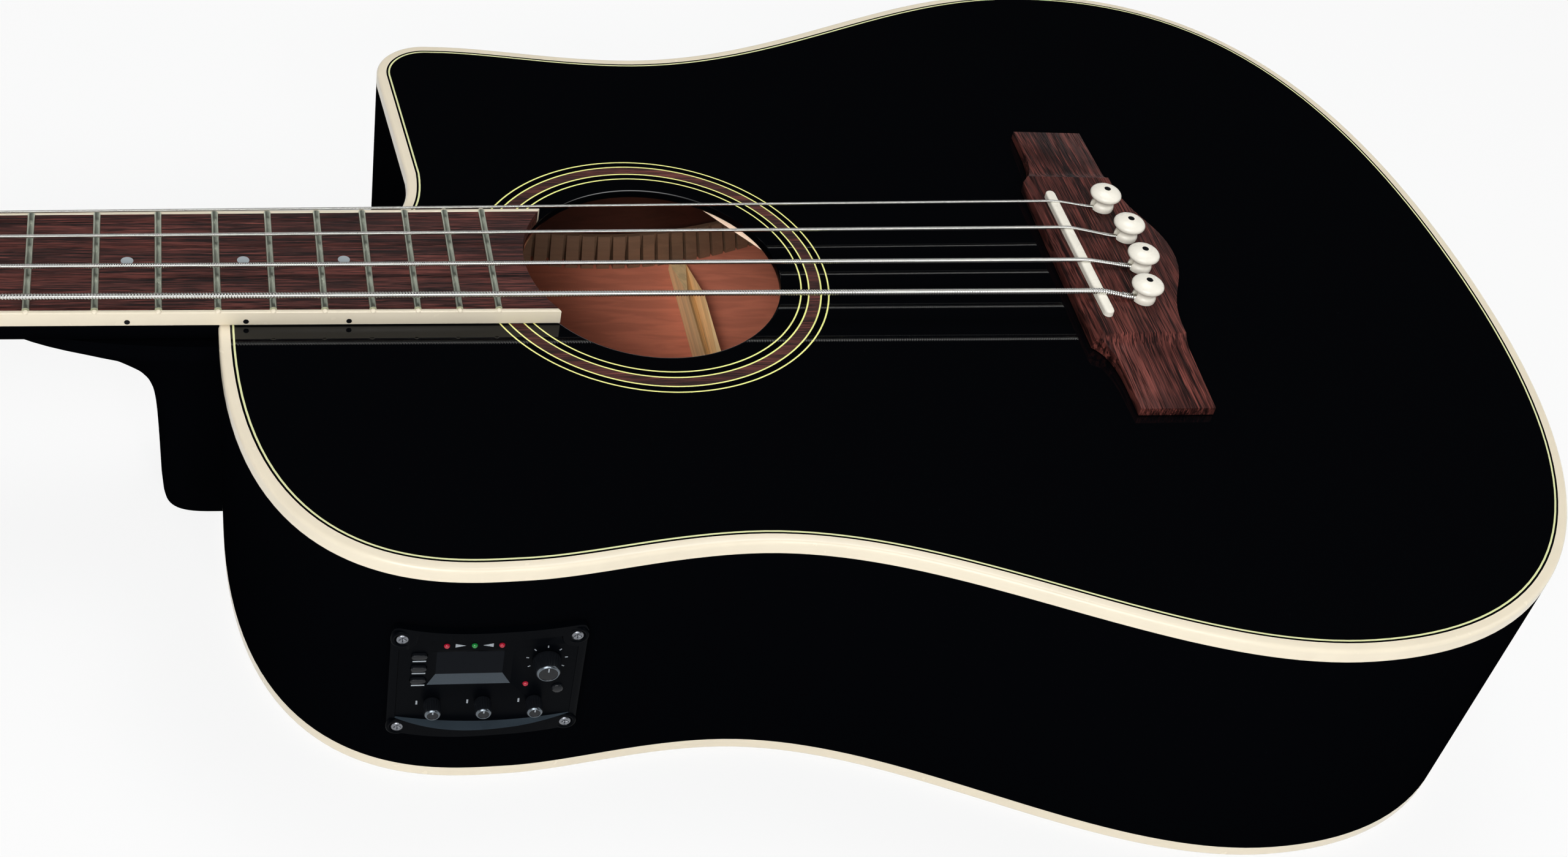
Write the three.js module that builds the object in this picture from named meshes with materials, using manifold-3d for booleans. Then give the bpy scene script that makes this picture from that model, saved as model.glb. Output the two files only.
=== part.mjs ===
// An acoustic bass guitar with a cutaway, lying on its back.
// Millimetres. X runs from the headstock to the tail, Y to the treble side and Z up out of the top.
// The origin is on the back, under the saddle. The body is deeper at the tail than at the neck, so the
// instrument is drawn with its top at height zero and then turned until its back lies level.
import * as THREE from "three";
import { mergeVertices } from "three/addons/utils/BufferGeometryUtils.js";
import Module from "manifold-3d";

const wasm = await Module();
wasm.setup();

// Overall sizes
const scaleLength = 864;
const fretCount = 22;
const fretsPerOctave = 12;
const joinFret = 16;
const depthAtNeck = 108;
const depthAtTail = 128;
const seam = 0.3;
const overrun = 5;
const mergeDistance = 1e-4;

// Body outline: half widths, and the reach of each place from the body's neck end
const bodyLength = 528.4;
const lowerBout = { reach: 387.9, half: 211.5 };
const waist = { reach: 173.9, half: 146.5 };
const upperBout = { reach: 94.9, half: 154 };
const shoulderHalf = 33;
const hornRadius = 22;
const hornReach = 90.4;
const cutawayTop = { reach: 68.4, drop: 23 };
const cutawayFoot = { reach: 74.4, y: 62 };
const cutawayNeck = { reach: 42.9, y: 28 };
const shoulderShares = [1.05, 0.25];
const upperShares = [0.29, 0.38];
const middleShares = [0.35, 0.36];
const tailShares = [0.61, 0.72];
const cutawayShares = [0.8, 0.7];
const longCurveSteps = 10;
const shortCurveSteps = 5;
const hornSteps = 6;

// Shell
const topThickness = 3.2;
const backThickness = 3.2;
const sideThickness = 2.6;
const bindingWidth = 4;
const backBindingWidth = 3.2;
const bindingHeight = 5.6;
const liningWidth = 7.4;
const liningHeight = 15;
const liningLip = 2.2;
const neckBlockLength = 61;
const neckBlockHalf = 36;
const tailBlockHalf = 32;
const tailBlockLength = 22;
const blockGap = 2;

// Soundhole and rosette
const soundholeReach = 164.5;
const soundholeRadius = 51;
const rosetteInner = 58.6;
const rosetteOuter = 70.6;
const rosetteDepth = 1.2;
const holeSides = 48;

// Braces
const braceWidth = 8;
const braceHeight = 15;
const braceEndHeight = 4;
const braceEndShare = 0.14;
const braceCrossReach = 250.9;
const braceHalfAngle = 53;
const upperBraceReach = 86.9;
const upperBraceWidth = 14;
const backBraceHeight = 17;
const backBraceReaches = { upper: 80.9, middle: 214.4, lower: 382.9 };
const braceMargin = 4;

// Bridge
const bridgeTurn = -1.3;
const bridgeFront = -8.5;
const bridgeBelly = 42.5;
const bridgeHalf = 90;
const bridgeBlockHalf = 51;
const bridgeWingFront = -1.5;
const bridgeWingBack = 30;
const bridgeHeight = 8.5;
const bridgeBevel = 3;
const bridgeShoulderHeight = 5.6;
const bridgeWingHeight = 3.6;
const bridgeCove = 5;
const bridgeWaist = 20;
const bridgeBellyReach = 50;
const bellyShares = [0.4, 0.5];
const bridgePlateHalf = 72;
const bridgePlateThickness = 3;
const bridgePlateMargin = 3;

// Saddle and pickup
const saddleTurn = 0.3;
const saddleX = -1.1;
const saddleY = -1.8;
const saddleHalf = 39.8;
const saddleThickness = 4.2;
const saddleTop = 11.1;
const slotFloor = 1.6;
const pickupThickness = 1;

// Bridge pins
const pinSpread = 20;
const pinShares = [-1.5, -0.5, 0.5, 1.5];
const outerPinX = 18.9;
const innerPinX = 23.4;
const pinTurn = -2.6;
const pinTipRadius = 2.9;
const pinShankRadius = 3.7;
const pinCollarRadius = 4.8;
const pinNeckRadius = 4;
const pinHeadRadius = 6.9;
const pinLength = 24;
const pinCollarHeight = 2;
const pinNeckHeight = 3.8;
const pinRimHeight = 7;
const pinDomeHeight = 9.3;
const pinTop = 10.2;
const pinDomeShare = 0.72;

// Strings, from the bass side to the treble side: names, diameters and places across
const strings = [
  { name: "e", diameter: 2.5, saddleY: -29.8, nutY: -19.3 },
  { name: "a", diameter: 2, saddleY: -9.8, nutY: -5.6 },
  { name: "d", diameter: 1.5, saddleY: 11.8, nutY: 6.8 },
  { name: "g", diameter: 1.15, saddleY: 29.8, nutY: 17.7 },
];
const nutRest = 8;
const windingTurns = 2;
const windingSteps = 10;
const windingGap = 0.55;
const stringSides = 6;
const stringStart = 6.2;

// Neck
const nutWidth = 45.6;
const boardWidthAtLast = 62;
const boardRise = 0.4;
const boardThickness = 6;
const neckDepthAtNut = 15.5;
const neckDepthAtBody = 18.5;
const neckInset = 0.4;
const nutThickness = 5;
const nutTop = 9;
const neckStationShares = [0, 0.25, 0.5, 0.75, 0.9, 1];
const neckSteps = 12;
const fretWidth = 2.5;
const fretCrown = 1.1;
const fretSink = 0.8;
const fretLip = 0.4;
const fretTopShare = 0.36;
const boardBinding = 1.8;

// Heel: reach from the body, half width and depth under the top
const heelStations = [
  { depth: 13, reach: 86, half: 26 },
  { depth: 18, reach: 80, half: 27.5 },
  { depth: 21.5, reach: 68, half: 27 },
  { depth: 25, reach: 53, half: 26.5 },
  { depth: 30, reach: 42, half: 26 },
  { depth: 36, reach: 33.5, half: 25.2 },
  { depth: 45, reach: 27, half: 24.2 },
  { depth: 60, reach: 24, half: 22.6 },
  { depth: 96, reach: 23.2, half: 19.4 },
];
const heelFoot = { reach: 21, half: 18 };

// Headstock
const headAngle = 10;
const headLength = 192;
const headThickness = 15;
const headThroat = 14;
const headShoulder = 46;
const headHalf = 37.5;
const headTopHalf = 33;
const headCrown = 8;
const throatShares = [0.6, 0.4];

// Truss rod
const rodRadius = 3;
const rodNutRadius = 4;
const rodNutLength = 13;
const rodDepth = 7;
const rodHeadReach = 16;
const rodBodyStop = 14;
const rodSides = 6;
const coverLength = 40;
const coverStart = 3;
const coverHalf = 11;
const coverTipHalf = 6;
const coverThickness = 1.6;

// Tuning machines
const postRadius = 4.5;
const postWaistRadius = 4;
const postWaistLow = 3.6;
const postWaistHigh = 13.4;
const postCapRadius = 5;
const postCapLow = 14.4;
const postTop = 17.4;
const postSlotWidth = 2.4;
const postSlotDepth = 3.4;
const gearRadius = 6.6;
const gearThickness = 4;
const wormRadius = 2.9;
const wormHalf = 7;
const shaftRadius = 2.2;
const housingWall = 1.8;
const housingDepth = 11.5;
const gearDrop = 2.2;
const nearPost = { reach: 55, half: 24 };
const farPost = { reach: 125, half: 17 };
const windingHigh = 11.4;
const buttonStart = 24;
const buttonLength = 22;
const buttonRadius = 12;
const buttonFlatShare = 0.55;
const buttonRoundShare = 0.3;
const buttonWidestShares = [0.4, 0.7];
const buttonNeckRadius = 3.6;
const turningGap = 0.35;

// Preamp: places on its panel are from its middle along the body, and from the top plane down
const panelReaches = [53.1, 119.1];
const panelZ = [-83.8, -28.3];
const panelThickness = 2.4;
const floorLift = 1.86;
const floorThickness = 2;
const pocketHalf = 30.5;
const pocketZ = [-79.6, -33.2];
const pocketCorner = 6.4;
const pocketBow = 3.8;
const pocketFootShares = [-1, -0.5, 0, 0.5, 1];
const pocketWall = 1.6;
const socketHalf = 26.6;
const caseDepth = 34;
const volumeKnob = { x: 20.2, z: -46.6, radius: 5.1, faceRadius: 4.1, length: 6.8 };
const toneKnobZ = -68.3;
const toneKnobs = [
  { name: "bass_knob", x: -18.1 },
  { name: "middle_knob", x: -0.5 },
  { name: "treble_knob", x: 17.4 },
];
const toneKnobRadius = 2.9;
const toneFaceRadius = 2.75;
const toneKnobLength = 6.4;
const stemRadius = 1.8;
const knobRimShare = 0.12;
const pushButtons = [
  { name: "note_button", z: -43.3 },
  { name: "pitch_button", z: -49.7 },
  { name: "power_button", z: -56.1 },
];
const pushButtonX = -23.5;
const pushButtonLength = 5.8;
const pushButtonHeight = 2.3;
const buttonProud = 1.1;
const buttonSunk = 0.9;
const phaseButton = { x: 25.2, z: -62, radius: 2.1 };

// Jack and strap button
const jackRadius = 6;
const jackFlange = 10;
const jackFlangeThickness = 2.4;
const jackWaist = 6.6;
const jackLip = 8.6;
const jackProud = 12;
const jackBore = 3.5;
const jackBoreDepth = 26;
const jackInside = 24;
const jackDepthShare = 0.5;
const strapButtonX = 9;
const strapButtonDepth = 72;
const strapButtonRadius = 7.5;
const strapButtonWaist = 4.2;
const strapButtonProud = 11;
const strapButtonShares = [0.55, 0.7, 0.9];
const strapScrewRadius = 1.8;
const strapScrewLength = 16;
const roundSides = 14;
const middleShare = 0.5;

// Places worked out from the sizes
const fretX = (fret) => -scaleLength * 2 ** (-fret / fretsPerOctave);
const bodyX = fretX(joinFret);
const tailX = bodyX + bodyLength;
const soundholeX = bodyX + soundholeReach;
const taper = (depthAtTail - depthAtNeck) / (tailX - bodyX);
const depthAtSaddle = depthAtNeck - taper * bodyX;
const backHeight = (x) => -(depthAtSaddle + taper * x);
const level = (height) => () => height;
const underTop = -topThickness - seam;
const neckTop = boardRise - seam;
const boardTop = boardRise + boardThickness;
const widening = (boardWidthAtLast - nutWidth) / (fretX(fretCount) + scaleLength) / 2;
const boardHalf = (x) => nutWidth / 2 + widening * (x + scaleLength);
const mix = (from, to, share) => from + (to - from) * share;
const radians = THREE.MathUtils.degToRad;

// Materials
const finish = (color, roughness, metalness = 0) =>
  new THREE.MeshStandardMaterial({ color, roughness, metalness });
const blackGloss = finish(0x070707, 0.08);
const creamPlastic = finish(0xf3e3bd, 0.3);
const ivoryPlastic = finish(0xf4efe0, 0.3);
const rosewood = finish(0x4b2a20, 0.5);
const mahogany = finish(0x8a4a33, 0.6);
const spruce = finish(0xcfa873, 0.6);
const nickelWire = finish(0xd8d8d2, 0.25, 1);
const chromePlate = finish(0xd6d8da, 0.12, 1);
const blackPlastic = finish(0x15161a, 0.45);
const steelRod = finish(0x8d9094, 0.35, 1);

// Solids
function toSolid(geometry) {
  const bare = geometry.clone();
  bare.deleteAttribute("normal");
  bare.deleteAttribute("uv");
  const merged = mergeVertices(bare, mergeDistance);
  const triVerts = new Uint32Array(merged.index.array);
  const vertProperties = new Float32Array(merged.attributes.position.array);
  return new wasm.Manifold(new wasm.Mesh({ numProp: 3, vertProperties, triVerts }));
}

function toGeometry(solid) {
  const made = solid.getMesh();
  const geometry = new THREE.BufferGeometry();
  geometry.setAttribute("position", new THREE.BufferAttribute(made.vertProperties, 3));
  geometry.setIndex(new THREE.BufferAttribute(made.triVerts, 1));
  return geometry;
}

const join = (first, ...others) =>
  toGeometry(others.reduce((solid, other) => solid.add(toSolid(other)), toSolid(first)));
const cut = (first, ...cutters) =>
  toGeometry(cutters.reduce((solid, cutter) => solid.subtract(toSolid(cutter)), toSolid(first)));
const common = (first, second) => toGeometry(toSolid(first).intersect(toSolid(second)));

// A closed skin over a row of sections, each a convex ring of as many points
function loft(sections, endless = false) {
  const corners = sections[0].length;
  const faces = [];
  const at = (i, j) => (i % sections.length) * corners + (j % corners);
  const last = endless ? sections.length : sections.length - 1;
  for (let i = 0; i < last; i++) {
    for (let j = 0; j < corners; j++) {
      faces.push(at(i, j), at(i + 1, j), at(i + 1, j + 1));
      faces.push(at(i, j), at(i + 1, j + 1), at(i, j + 1));
    }
  }
  for (let j = 1; !endless && j < corners - 1; j++) {
    faces.push(at(0, 0), at(0, j), at(0, j + 1));
    faces.push(at(last, 0), at(last, j + 1), at(last, j));
  }
  const geometry = new THREE.BufferGeometry().setFromPoints(sections.flat());
  geometry.setIndex(faces);
  return geometry;
}

// A flat outline raised between two heights, which may vary over it
function slab(outline, bottom, top, holes = []) {
  const shape = new THREE.Shape(outline);
  shape.holes = holes.map((hole) => new THREE.Path(hole));
  const geometry = new THREE.ExtrudeGeometry(shape, { depth: 1, bevelEnabled: false });
  const at = geometry.attributes.position;
  for (let i = 0; i < at.count; i++) {
    const [x, y] = [at.getX(i), at.getY(i)];
    at.setZ(i, mix(bottom(x, y), top(x, y), at.getZ(i)));
  }
  return geometry;
}

const spot = (x, y) => new THREE.Vector2(x, y);
const rectangle = (x1, x2, y1, y2) => [spot(x1, y1), spot(x2, y1), spot(x2, y2), spot(x1, y2)];
const block = (x1, x2, y1, y2, z1, z2) => slab(rectangle(x1, x2, y1, y2), level(z1), level(z2));

// A turned solid about Z from pairs of radius and height
function turned(profile, sides = roundSides) {
  const geometry = new THREE.LatheGeometry(profile.map(([r, z]) => spot(r, z)), sides);
  return geometry.rotateX(Math.PI / 2);
}

const rod = (radius, low, high, sides = roundSides) =>
  turned([[0, low], [radius, low], [radius, high], [0, high]], sides);

// Outline of the body, in two halves that meet at the neck end and at the tail
const curve = (points, steps) => new THREE.CubicBezierCurve(...points).getPoints(steps).slice(1);

function levelCurve(from, to, [startShare, endShare], steps) {
  const reach = to.x - from.x;
  const leave = spot(from.x + reach * startShare, from.y);
  const arrive = spot(to.x - reach * endShare, to.y);
  return curve([from, leave, arrive, to], steps);
}

function bassHalf() {
  const shoulder = spot(bodyX, -shoulderHalf);
  const [upper, middle, lower] = [upperBout, waist, lowerBout].map(({ reach, half }) =>
    spot(bodyX + reach, -half));
  const tail = spot(tailX, -seam / 2);
  const rise = upper.y - shoulder.y;
  const run = upper.x - shoulder.x;
  const shoulderCurve = [
    shoulder,
    spot(bodyX, shoulder.y + rise * shoulderShares[0]),
    spot(upper.x - run * shoulderShares[1], upper.y),
    upper,
  ];
  const tailCurve = [
    lower,
    spot(mix(lower.x, tailX, tailShares[0]), lower.y),
    spot(tailX, lower.y * tailShares[1]),
    tail,
  ];
  return [
    spot(bodyX, -seam / 2),
    shoulder,
    ...curve(shoulderCurve, longCurveSteps),
    ...levelCurve(upper, middle, upperShares, shortCurveSteps),
    ...levelCurve(middle, lower, middleShares, longCurveSteps),
    ...curve(tailCurve, longCurveSteps),
  ];
}

function trebleHalf() {
  const mirrored = bassHalf().map((point) => spot(point.x, -point.y)).reverse();
  const body = mirrored.filter((point) => point.x > bodyX + upperBout.reach);
  const horn = new THREE.EllipseCurve(
    bodyX + hornReach, upperBout.half - hornRadius, hornRadius, hornRadius, Math.PI / 2, Math.PI);
  const foot = spot(bodyX + cutawayFoot.reach, cutawayFoot.y);
  const neck = spot(bodyX + cutawayNeck.reach, cutawayNeck.y);
  const turn = [
    foot,
    spot(foot.x, mix(foot.y, neck.y, cutawayShares[0])),
    spot(mix(neck.x, foot.x, cutawayShares[1]), neck.y),
    neck,
  ];
  return [
    ...body,
    ...horn.getPoints(hornSteps).slice(0, -1),
    spot(bodyX + cutawayTop.reach, upperBout.half - cutawayTop.drop),
    foot,
    ...curve(turn, shortCurveSteps),
    spot(bodyX, neck.y),
    spot(bodyX, seam / 2),
  ];
}

const bassOutline = bassHalf();
const trebleOutline = trebleHalf();
const outline = [...bassOutline, ...trebleOutline];

// The outline moved inwards, or outwards by a negative distance
function inset(points, distance, endless) {
  const count = points.length;
  const inward = (from, to) => {
    const along = to.clone().sub(from).normalize();
    return spot(-along.y, along.x);
  };
  return points.map((point, i) => {
    const before = endless || i > 0 ? points[(i + count - 1) % count] : null;
    const after = endless || i < count - 1 ? points[(i + 1) % count] : null;
    const first = before ? inward(before, point) : inward(point, after);
    const second = after ? inward(point, after) : first;
    const sum = first.clone().add(second);
    return sum.multiplyScalar(distance / (1 + first.dot(second))).add(point);
  });
}

// A strip round the body from the corners of its section, each an inset and a height
function rimStrip(points, corners, endless = false) {
  const lines = corners.map(([distance]) => inset(points, distance, endless));
  const sections = points.map((_, i) =>
    corners.map(([, height], j) => {
      const { x, y } = lines[j][i];
      return new THREE.Vector3(x, y, height(x));
    }));
  return loft(sections, endless);
}

const boxed = (outer, inner, low, high) => [[outer, low], [outer, high], [inner, high], [inner, low]];

const above = (height) => (x) => backHeight(x) + height;

// The stretch of an outline between two lines across the body
function stretch(points, x1, x2) {
  const at = (from, to, x) => from.clone().lerp(to, (x - from.x) / (to.x - from.x));
  const start = points.findIndex((point) => point.x > x1);
  const end = points.findIndex((point) => point.x > x2);
  return [
    at(points[start - 1], points[start], x1),
    ...points.slice(start, end),
    at(points[end - 1], points[end], x2),
  ];
}

// Where a line from a point leaves the space inside the linings
function reachInside(from, direction, distance) {
  const wall = inset(outline, distance, true);
  let nearest = Infinity;
  wall.forEach((a, i) => {
    const edge = wall[(i + 1) % wall.length].clone().sub(a);
    const across = direction.x * edge.y - direction.y * edge.x;
    const offset = a.clone().sub(from);
    const along = (offset.x * edge.y - offset.y * edge.x) / across;
    const share = (offset.x * direction.y - offset.y * direction.x) / across;
    if (along > 0 && share >= 0 && share <= 1) nearest = Math.min(nearest, along);
  });
  return nearest;
}

// Body shell
const pinPlaces = pinShares.map((step) => {
  const x = Math.abs(step) > 1 ? outerPinX : innerPinX;
  return spot(x, step * pinSpread).rotateAround(spot(0, 0), radians(pinTurn));
});
const pinHoleRadius = pinShankRadius + turningGap;
const pinHoles = () =>
  pinPlaces.map(({ x, y }) =>
    rod(pinHoleRadius, -pinLength - overrun, bridgeHeight + overrun).translate(x, y, 0));

function ring(inner, outer, low, high, sides) {
  return turned([[inner, low], [outer, low], [outer, high], [inner, high], [inner, low]], sides);
}

function soundboard() {
  const edge = inset(outline, bindingWidth + seam, true);
  const hole = new THREE.Path().absarc(soundholeX, 0, soundholeRadius, 0, 2 * Math.PI, true);
  const holePoints = hole.getSpacedPoints(holeSides).slice(0, -1);
  const plate = slab(edge, level(-topThickness), level(0), [holePoints]);
  const channel = ring(
    rosetteInner - seam, rosetteOuter + seam, -rosetteDepth - seam, overrun, holeSides);
  return cut(plate, channel.translate(soundholeX, 0, 0), ...pinHoles());
}

const rosette = () =>
  ring(rosetteInner, rosetteOuter, -rosetteDepth, 0, holeSides).translate(soundholeX, 0, 0);

function backPlate() {
  const edge = inset(outline, backBindingWidth + seam, true);
  return slab(edge, backHeight, above(backThickness));
}

const topBinding = () =>
  rimStrip(outline, boxed(0, bindingWidth, level(-bindingHeight), level(0)), true);
const backBinding = () =>
  rimStrip(outline, boxed(0, backBindingWidth, backHeight, above(bindingHeight)), true);
const sideTop = level(-bindingHeight - seam);
const sideFoot = above(bindingHeight + seam);
const side = (points) => rimStrip(points, boxed(0, sideThickness, sideFoot, sideTop));

// The space inside the shell, which narrows at the bindings
const insideSide = sideThickness + seam;
const insideTopBinding = bindingWidth + seam;
const insideBackBinding = backBindingWidth + seam;
const onBack = above(backThickness + seam);

function blockInside(plan) {
  const middle = slab(inset(outline, insideSide, true), sideFoot, sideTop);
  const ends = slab(inset(outline, insideTopBinding, true), onBack, level(underTop));
  return common(slab(plan, level(backHeight(tailX)), level(0)), join(middle, ends));
}

const neckBlock = () =>
  blockInside(rectangle(bodyX, bodyX + neckBlockLength, -neckBlockHalf, neckBlockHalf));
const tailBlock = () =>
  cut(blockInside(rectangle(tailX - tailBlockLength, tailX, -tailBlockHalf, tailBlockHalf)),
    jackCutter());

// Linings run along the side from the neck block to the tail block
const clearOfBlocks = ({ x, y }) => Math.abs(y) > (x < 0 ? neckBlockHalf : tailBlockHalf) + blockGap;
const thinEdge = insideSide + liningLip;
const thickEdge = insideSide + liningWidth;

function topLining(points) {
  const foot = level(underTop - liningHeight);
  return rimStrip(points.filter(clearOfBlocks), [
    [insideTopBinding, sideTop],
    [insideTopBinding, level(underTop)],
    [thickEdge, level(underTop)],
    [thinEdge, foot],
    [insideSide, foot],
    [insideSide, sideTop],
  ]);
}

function backLining(points) {
  const crest = above(backThickness + seam + liningHeight);
  return rimStrip(points.filter(clearOfBlocks), [
    [insideBackBinding, sideFoot],
    [insideSide, sideFoot],
    [insideSide, crest],
    [thinEdge, crest],
    [thickEdge, onBack],
    [insideBackBinding, onBack],
  ]);
}

// Braces, drawn along X under the plane that carries them
function brace(length, width, height, endHeight) {
  const ends = [0, braceEndShare, 1 - braceEndShare, 1]
    .map((share) => mix(-length / 2, length / 2, share));
  const lower = ends.map((x) => spot(x, -width / 2));
  const upper = ends.map((x) => spot(x, width / 2)).reverse();
  const taperEnd = (x) =>
    -mix(endHeight, height, Math.min(1, (length / 2 - Math.abs(x)) / (braceEndShare * length)));
  return slab([...lower, ...upper], taperEnd, level(0));
}

function layBrace(from, degrees, width, height) {
  const direction = spot(Math.cos(radians(degrees)), Math.sin(radians(degrees)));
  const across = spot(-direction.y, direction.x);
  const reach = (way) =>
    Math.min(...[-width / 2, width / 2].map((offset) =>
      reachInside(from.clone().addScaledVector(across, offset), way, thickEdge + braceMargin)));
  const ahead = reach(direction);
  const behind = reach(direction.clone().negate());
  const middle = from.clone().addScaledVector(direction, (ahead - behind) / 2);
  const geometry = brace(ahead + behind, width, height, braceEndHeight);
  return geometry.rotateZ(radians(degrees)).translate(middle.x, middle.y, 0);
}

// The X-brace: the two bars are halved into each other where they cross
function crossBrace(turn, upperHalf) {
  const start = spot(bodyX + braceCrossReach, 0);
  const bar = layBrace(start, turn * braceHalfAngle, braceWidth, braceHeight);
  const notchHalf = braceWidth / 2 + seam;
  const middle = -braceHeight / 2;
  const notch = upperHalf
    ? block(-braceHeight * 2, braceHeight * 2, -notchHalf, notchHalf, middle - seam / 2, overrun)
    : block(-braceHeight * 2, braceHeight * 2, -notchHalf, notchHalf, -braceHeight - overrun,
        middle + seam / 2);
  notch.rotateZ(radians(-turn * braceHalfAngle)).translate(bodyX + braceCrossReach, 0, 0);
  return cut(bar, notch).translate(0, 0, underTop);
}

// A back brace: a brace turned over, which follows the slope of the back
function backBrace(x) {
  const geometry = layBrace(spot(x, 0), 90, braceWidth, backBraceHeight);
  geometry.translate(-x, 0, 0).rotateY(Math.PI).translate(x, 0, 0);
  const at = geometry.attributes.position;
  for (let i = 0; i < at.count; i++) at.setZ(i, at.getZ(i) + onBack(at.getX(i)));
  return geometry;
}

function bridgePlate() {
  const plate = block(bridgeFront, bridgeBelly + bridgePlateMargin, -bridgePlateHalf,
    bridgePlateHalf, underTop - bridgePlateThickness, underTop);
  return cut(plate.rotateZ(radians(bridgeTurn)), ...pinHoles());
}

// Bridge
function bridgePlan() {
  const half = new THREE.Path();
  const wingStep = bridgeBlockHalf + bridgeCove;
  half.moveTo(bridgeBelly, 0);
  half.bezierCurveTo(
    bridgeBelly, bridgeBellyReach * bellyShares[0],
    bridgeWingBack, bridgeBellyReach * bellyShares[1],
    bridgeWingBack, bridgeBellyReach);
  half.lineTo(bridgeWingBack, bridgeHalf);
  half.lineTo(bridgeWingFront, bridgeHalf);
  half.lineTo(bridgeWingFront, wingStep + bridgeWaist);
  half.quadraticCurveTo(bridgeWingFront, wingStep, bridgeFront, bridgeBlockHalf);
  const treble = half.getPoints(shortCurveSteps + 1);
  const bass = treble.slice(1).map((point) => spot(point.x, -point.y)).reverse();
  return [...treble, ...bass];
}

// The bridge's height along its length, with a cove down to each wing
function bridgeSide() {
  const profile = new THREE.Path();
  profile.moveTo(0, seam);
  profile.lineTo(bridgeHalf + overrun, seam);
  profile.lineTo(bridgeHalf + overrun, bridgeWingHeight);
  profile.lineTo(bridgeBlockHalf + bridgeCove, bridgeShoulderHeight);
  profile.quadraticCurveTo(
    bridgeBlockHalf, bridgeShoulderHeight, bridgeBlockHalf, bridgeHeight);
  const treble = profile.getPoints(shortCurveSteps);
  const bass = treble.slice(1).map((point) => spot(-point.x, point.y)).reverse();
  const reach = bridgeBelly - bridgeFront + 2 * overrun;
  const shape = new THREE.Shape([...treble, ...bass]);
  const geometry = new THREE.ExtrudeGeometry(shape, { depth: reach, bevelEnabled: false });
  return geometry.rotateX(Math.PI / 2).rotateZ(Math.PI / 2).translate(bridgeFront - overrun, 0, 0);
}

// The front of the bridge, bevelled along its top
function bridgeNose() {
  const end = bridgeBelly + overrun;
  const shape = new THREE.Shape([
    spot(bridgeFront, 0),
    spot(end, 0),
    spot(end, bridgeHeight + overrun),
    spot(bridgeFront + bridgeBevel + overrun, bridgeHeight + overrun),
    spot(bridgeFront, bridgeHeight - bridgeBevel),
  ]);
  const depth = 2 * (bridgeHalf + overrun);
  const geometry = new THREE.ExtrudeGeometry(shape, { depth, bevelEnabled: false });
  return geometry.rotateX(Math.PI / 2).translate(0, depth / 2, 0);
}

const inSaddle = (geometry) =>
  geometry.rotateZ(radians(saddleTurn)).translate(saddleX, saddleY, 0);

function bridge() {
  const plan = slab(bridgePlan(), level(0), level(bridgeHeight + overrun));
  const body = common(common(plan, bridgeSide()), bridgeNose()).rotateZ(radians(bridgeTurn));
  const slotHalf = saddleThickness / 2 + seam;
  const slotEnd = saddleHalf + seam;
  const slot = block(-slotHalf, slotHalf, -slotEnd, slotEnd, slotFloor, bridgeHeight + overrun);
  return cut(body, inSaddle(slot), ...pinHoles());
}

const pickup = () =>
  inSaddle(block(-saddleThickness / 2, saddleThickness / 2, -saddleHalf, saddleHalf,
    slotFloor + seam, slotFloor + seam + pickupThickness));

function saddle() {
  const half = saddleThickness / 2;
  const low = slotFloor + pickupThickness + 2 * seam;
  const side = new THREE.Shape();
  side.moveTo(-half, low);
  side.lineTo(half, low);
  side.lineTo(half, saddleTop - half);
  side.absarc(0, saddleTop - half, half, 0, Math.PI);
  side.closePath();
  const geometry = new THREE.ExtrudeGeometry(side, {
    depth: 2 * saddleHalf,
    bevelEnabled: false,
    curveSegments: shortCurveSteps,
  });
  return inSaddle(geometry.rotateX(Math.PI / 2).translate(0, saddleHalf, 0));
}

function bridgePin() {
  return turned([
    [0, -pinLength],
    [pinTipRadius, -pinLength],
    [pinShankRadius, 0],
    [pinShankRadius, seam],
    [pinCollarRadius, seam],
    [pinCollarRadius, pinCollarHeight],
    [pinNeckRadius, pinNeckHeight],
    [pinHeadRadius, pinRimHeight],
    [pinHeadRadius * pinDomeShare, pinDomeHeight],
    [0, pinTop],
  ]);
}

// Neck, fingerboard and nut
const nutX = -scaleLength;
const headX = nutX - nutThickness;
const headFrame = new THREE.Matrix4()
  .makeRotationY(-radians(headAngle))
  .setPosition(headX, 0, neckTop);

function neckShaft() {
  const end = bodyX - seam;
  const sections = neckStationShares.map((share) => {
    const x = mix(headX, end, share);
    const half = boardHalf(x) - neckInset;
    const depth = mix(neckDepthAtNut, neckDepthAtBody, share);
    return Array.from({ length: neckSteps + 1 }, (_, i) => {
      const turn = (Math.PI * i) / neckSteps;
      return new THREE.Vector3(x, half * Math.cos(turn), neckTop - depth * Math.sin(turn));
    });
  });
  return loft(sections);
}

function heel() {
  const face = bodyX - seam;
  const arc = (reach, half, height) =>
    Array.from({ length: neckSteps + 1 }, (_, i) => {
      const turn = (Math.PI * i) / neckSteps;
      const x = face - reach * Math.sin(turn);
      return new THREE.Vector3(x, half * Math.cos(turn), height(x));
    });
  const stations = heelStations.map(({ depth, reach, half }) => arc(reach, half, level(-depth)));
  return loft([...stations, arc(heelFoot.reach, heelFoot.half, backHeight)]);
}

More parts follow.
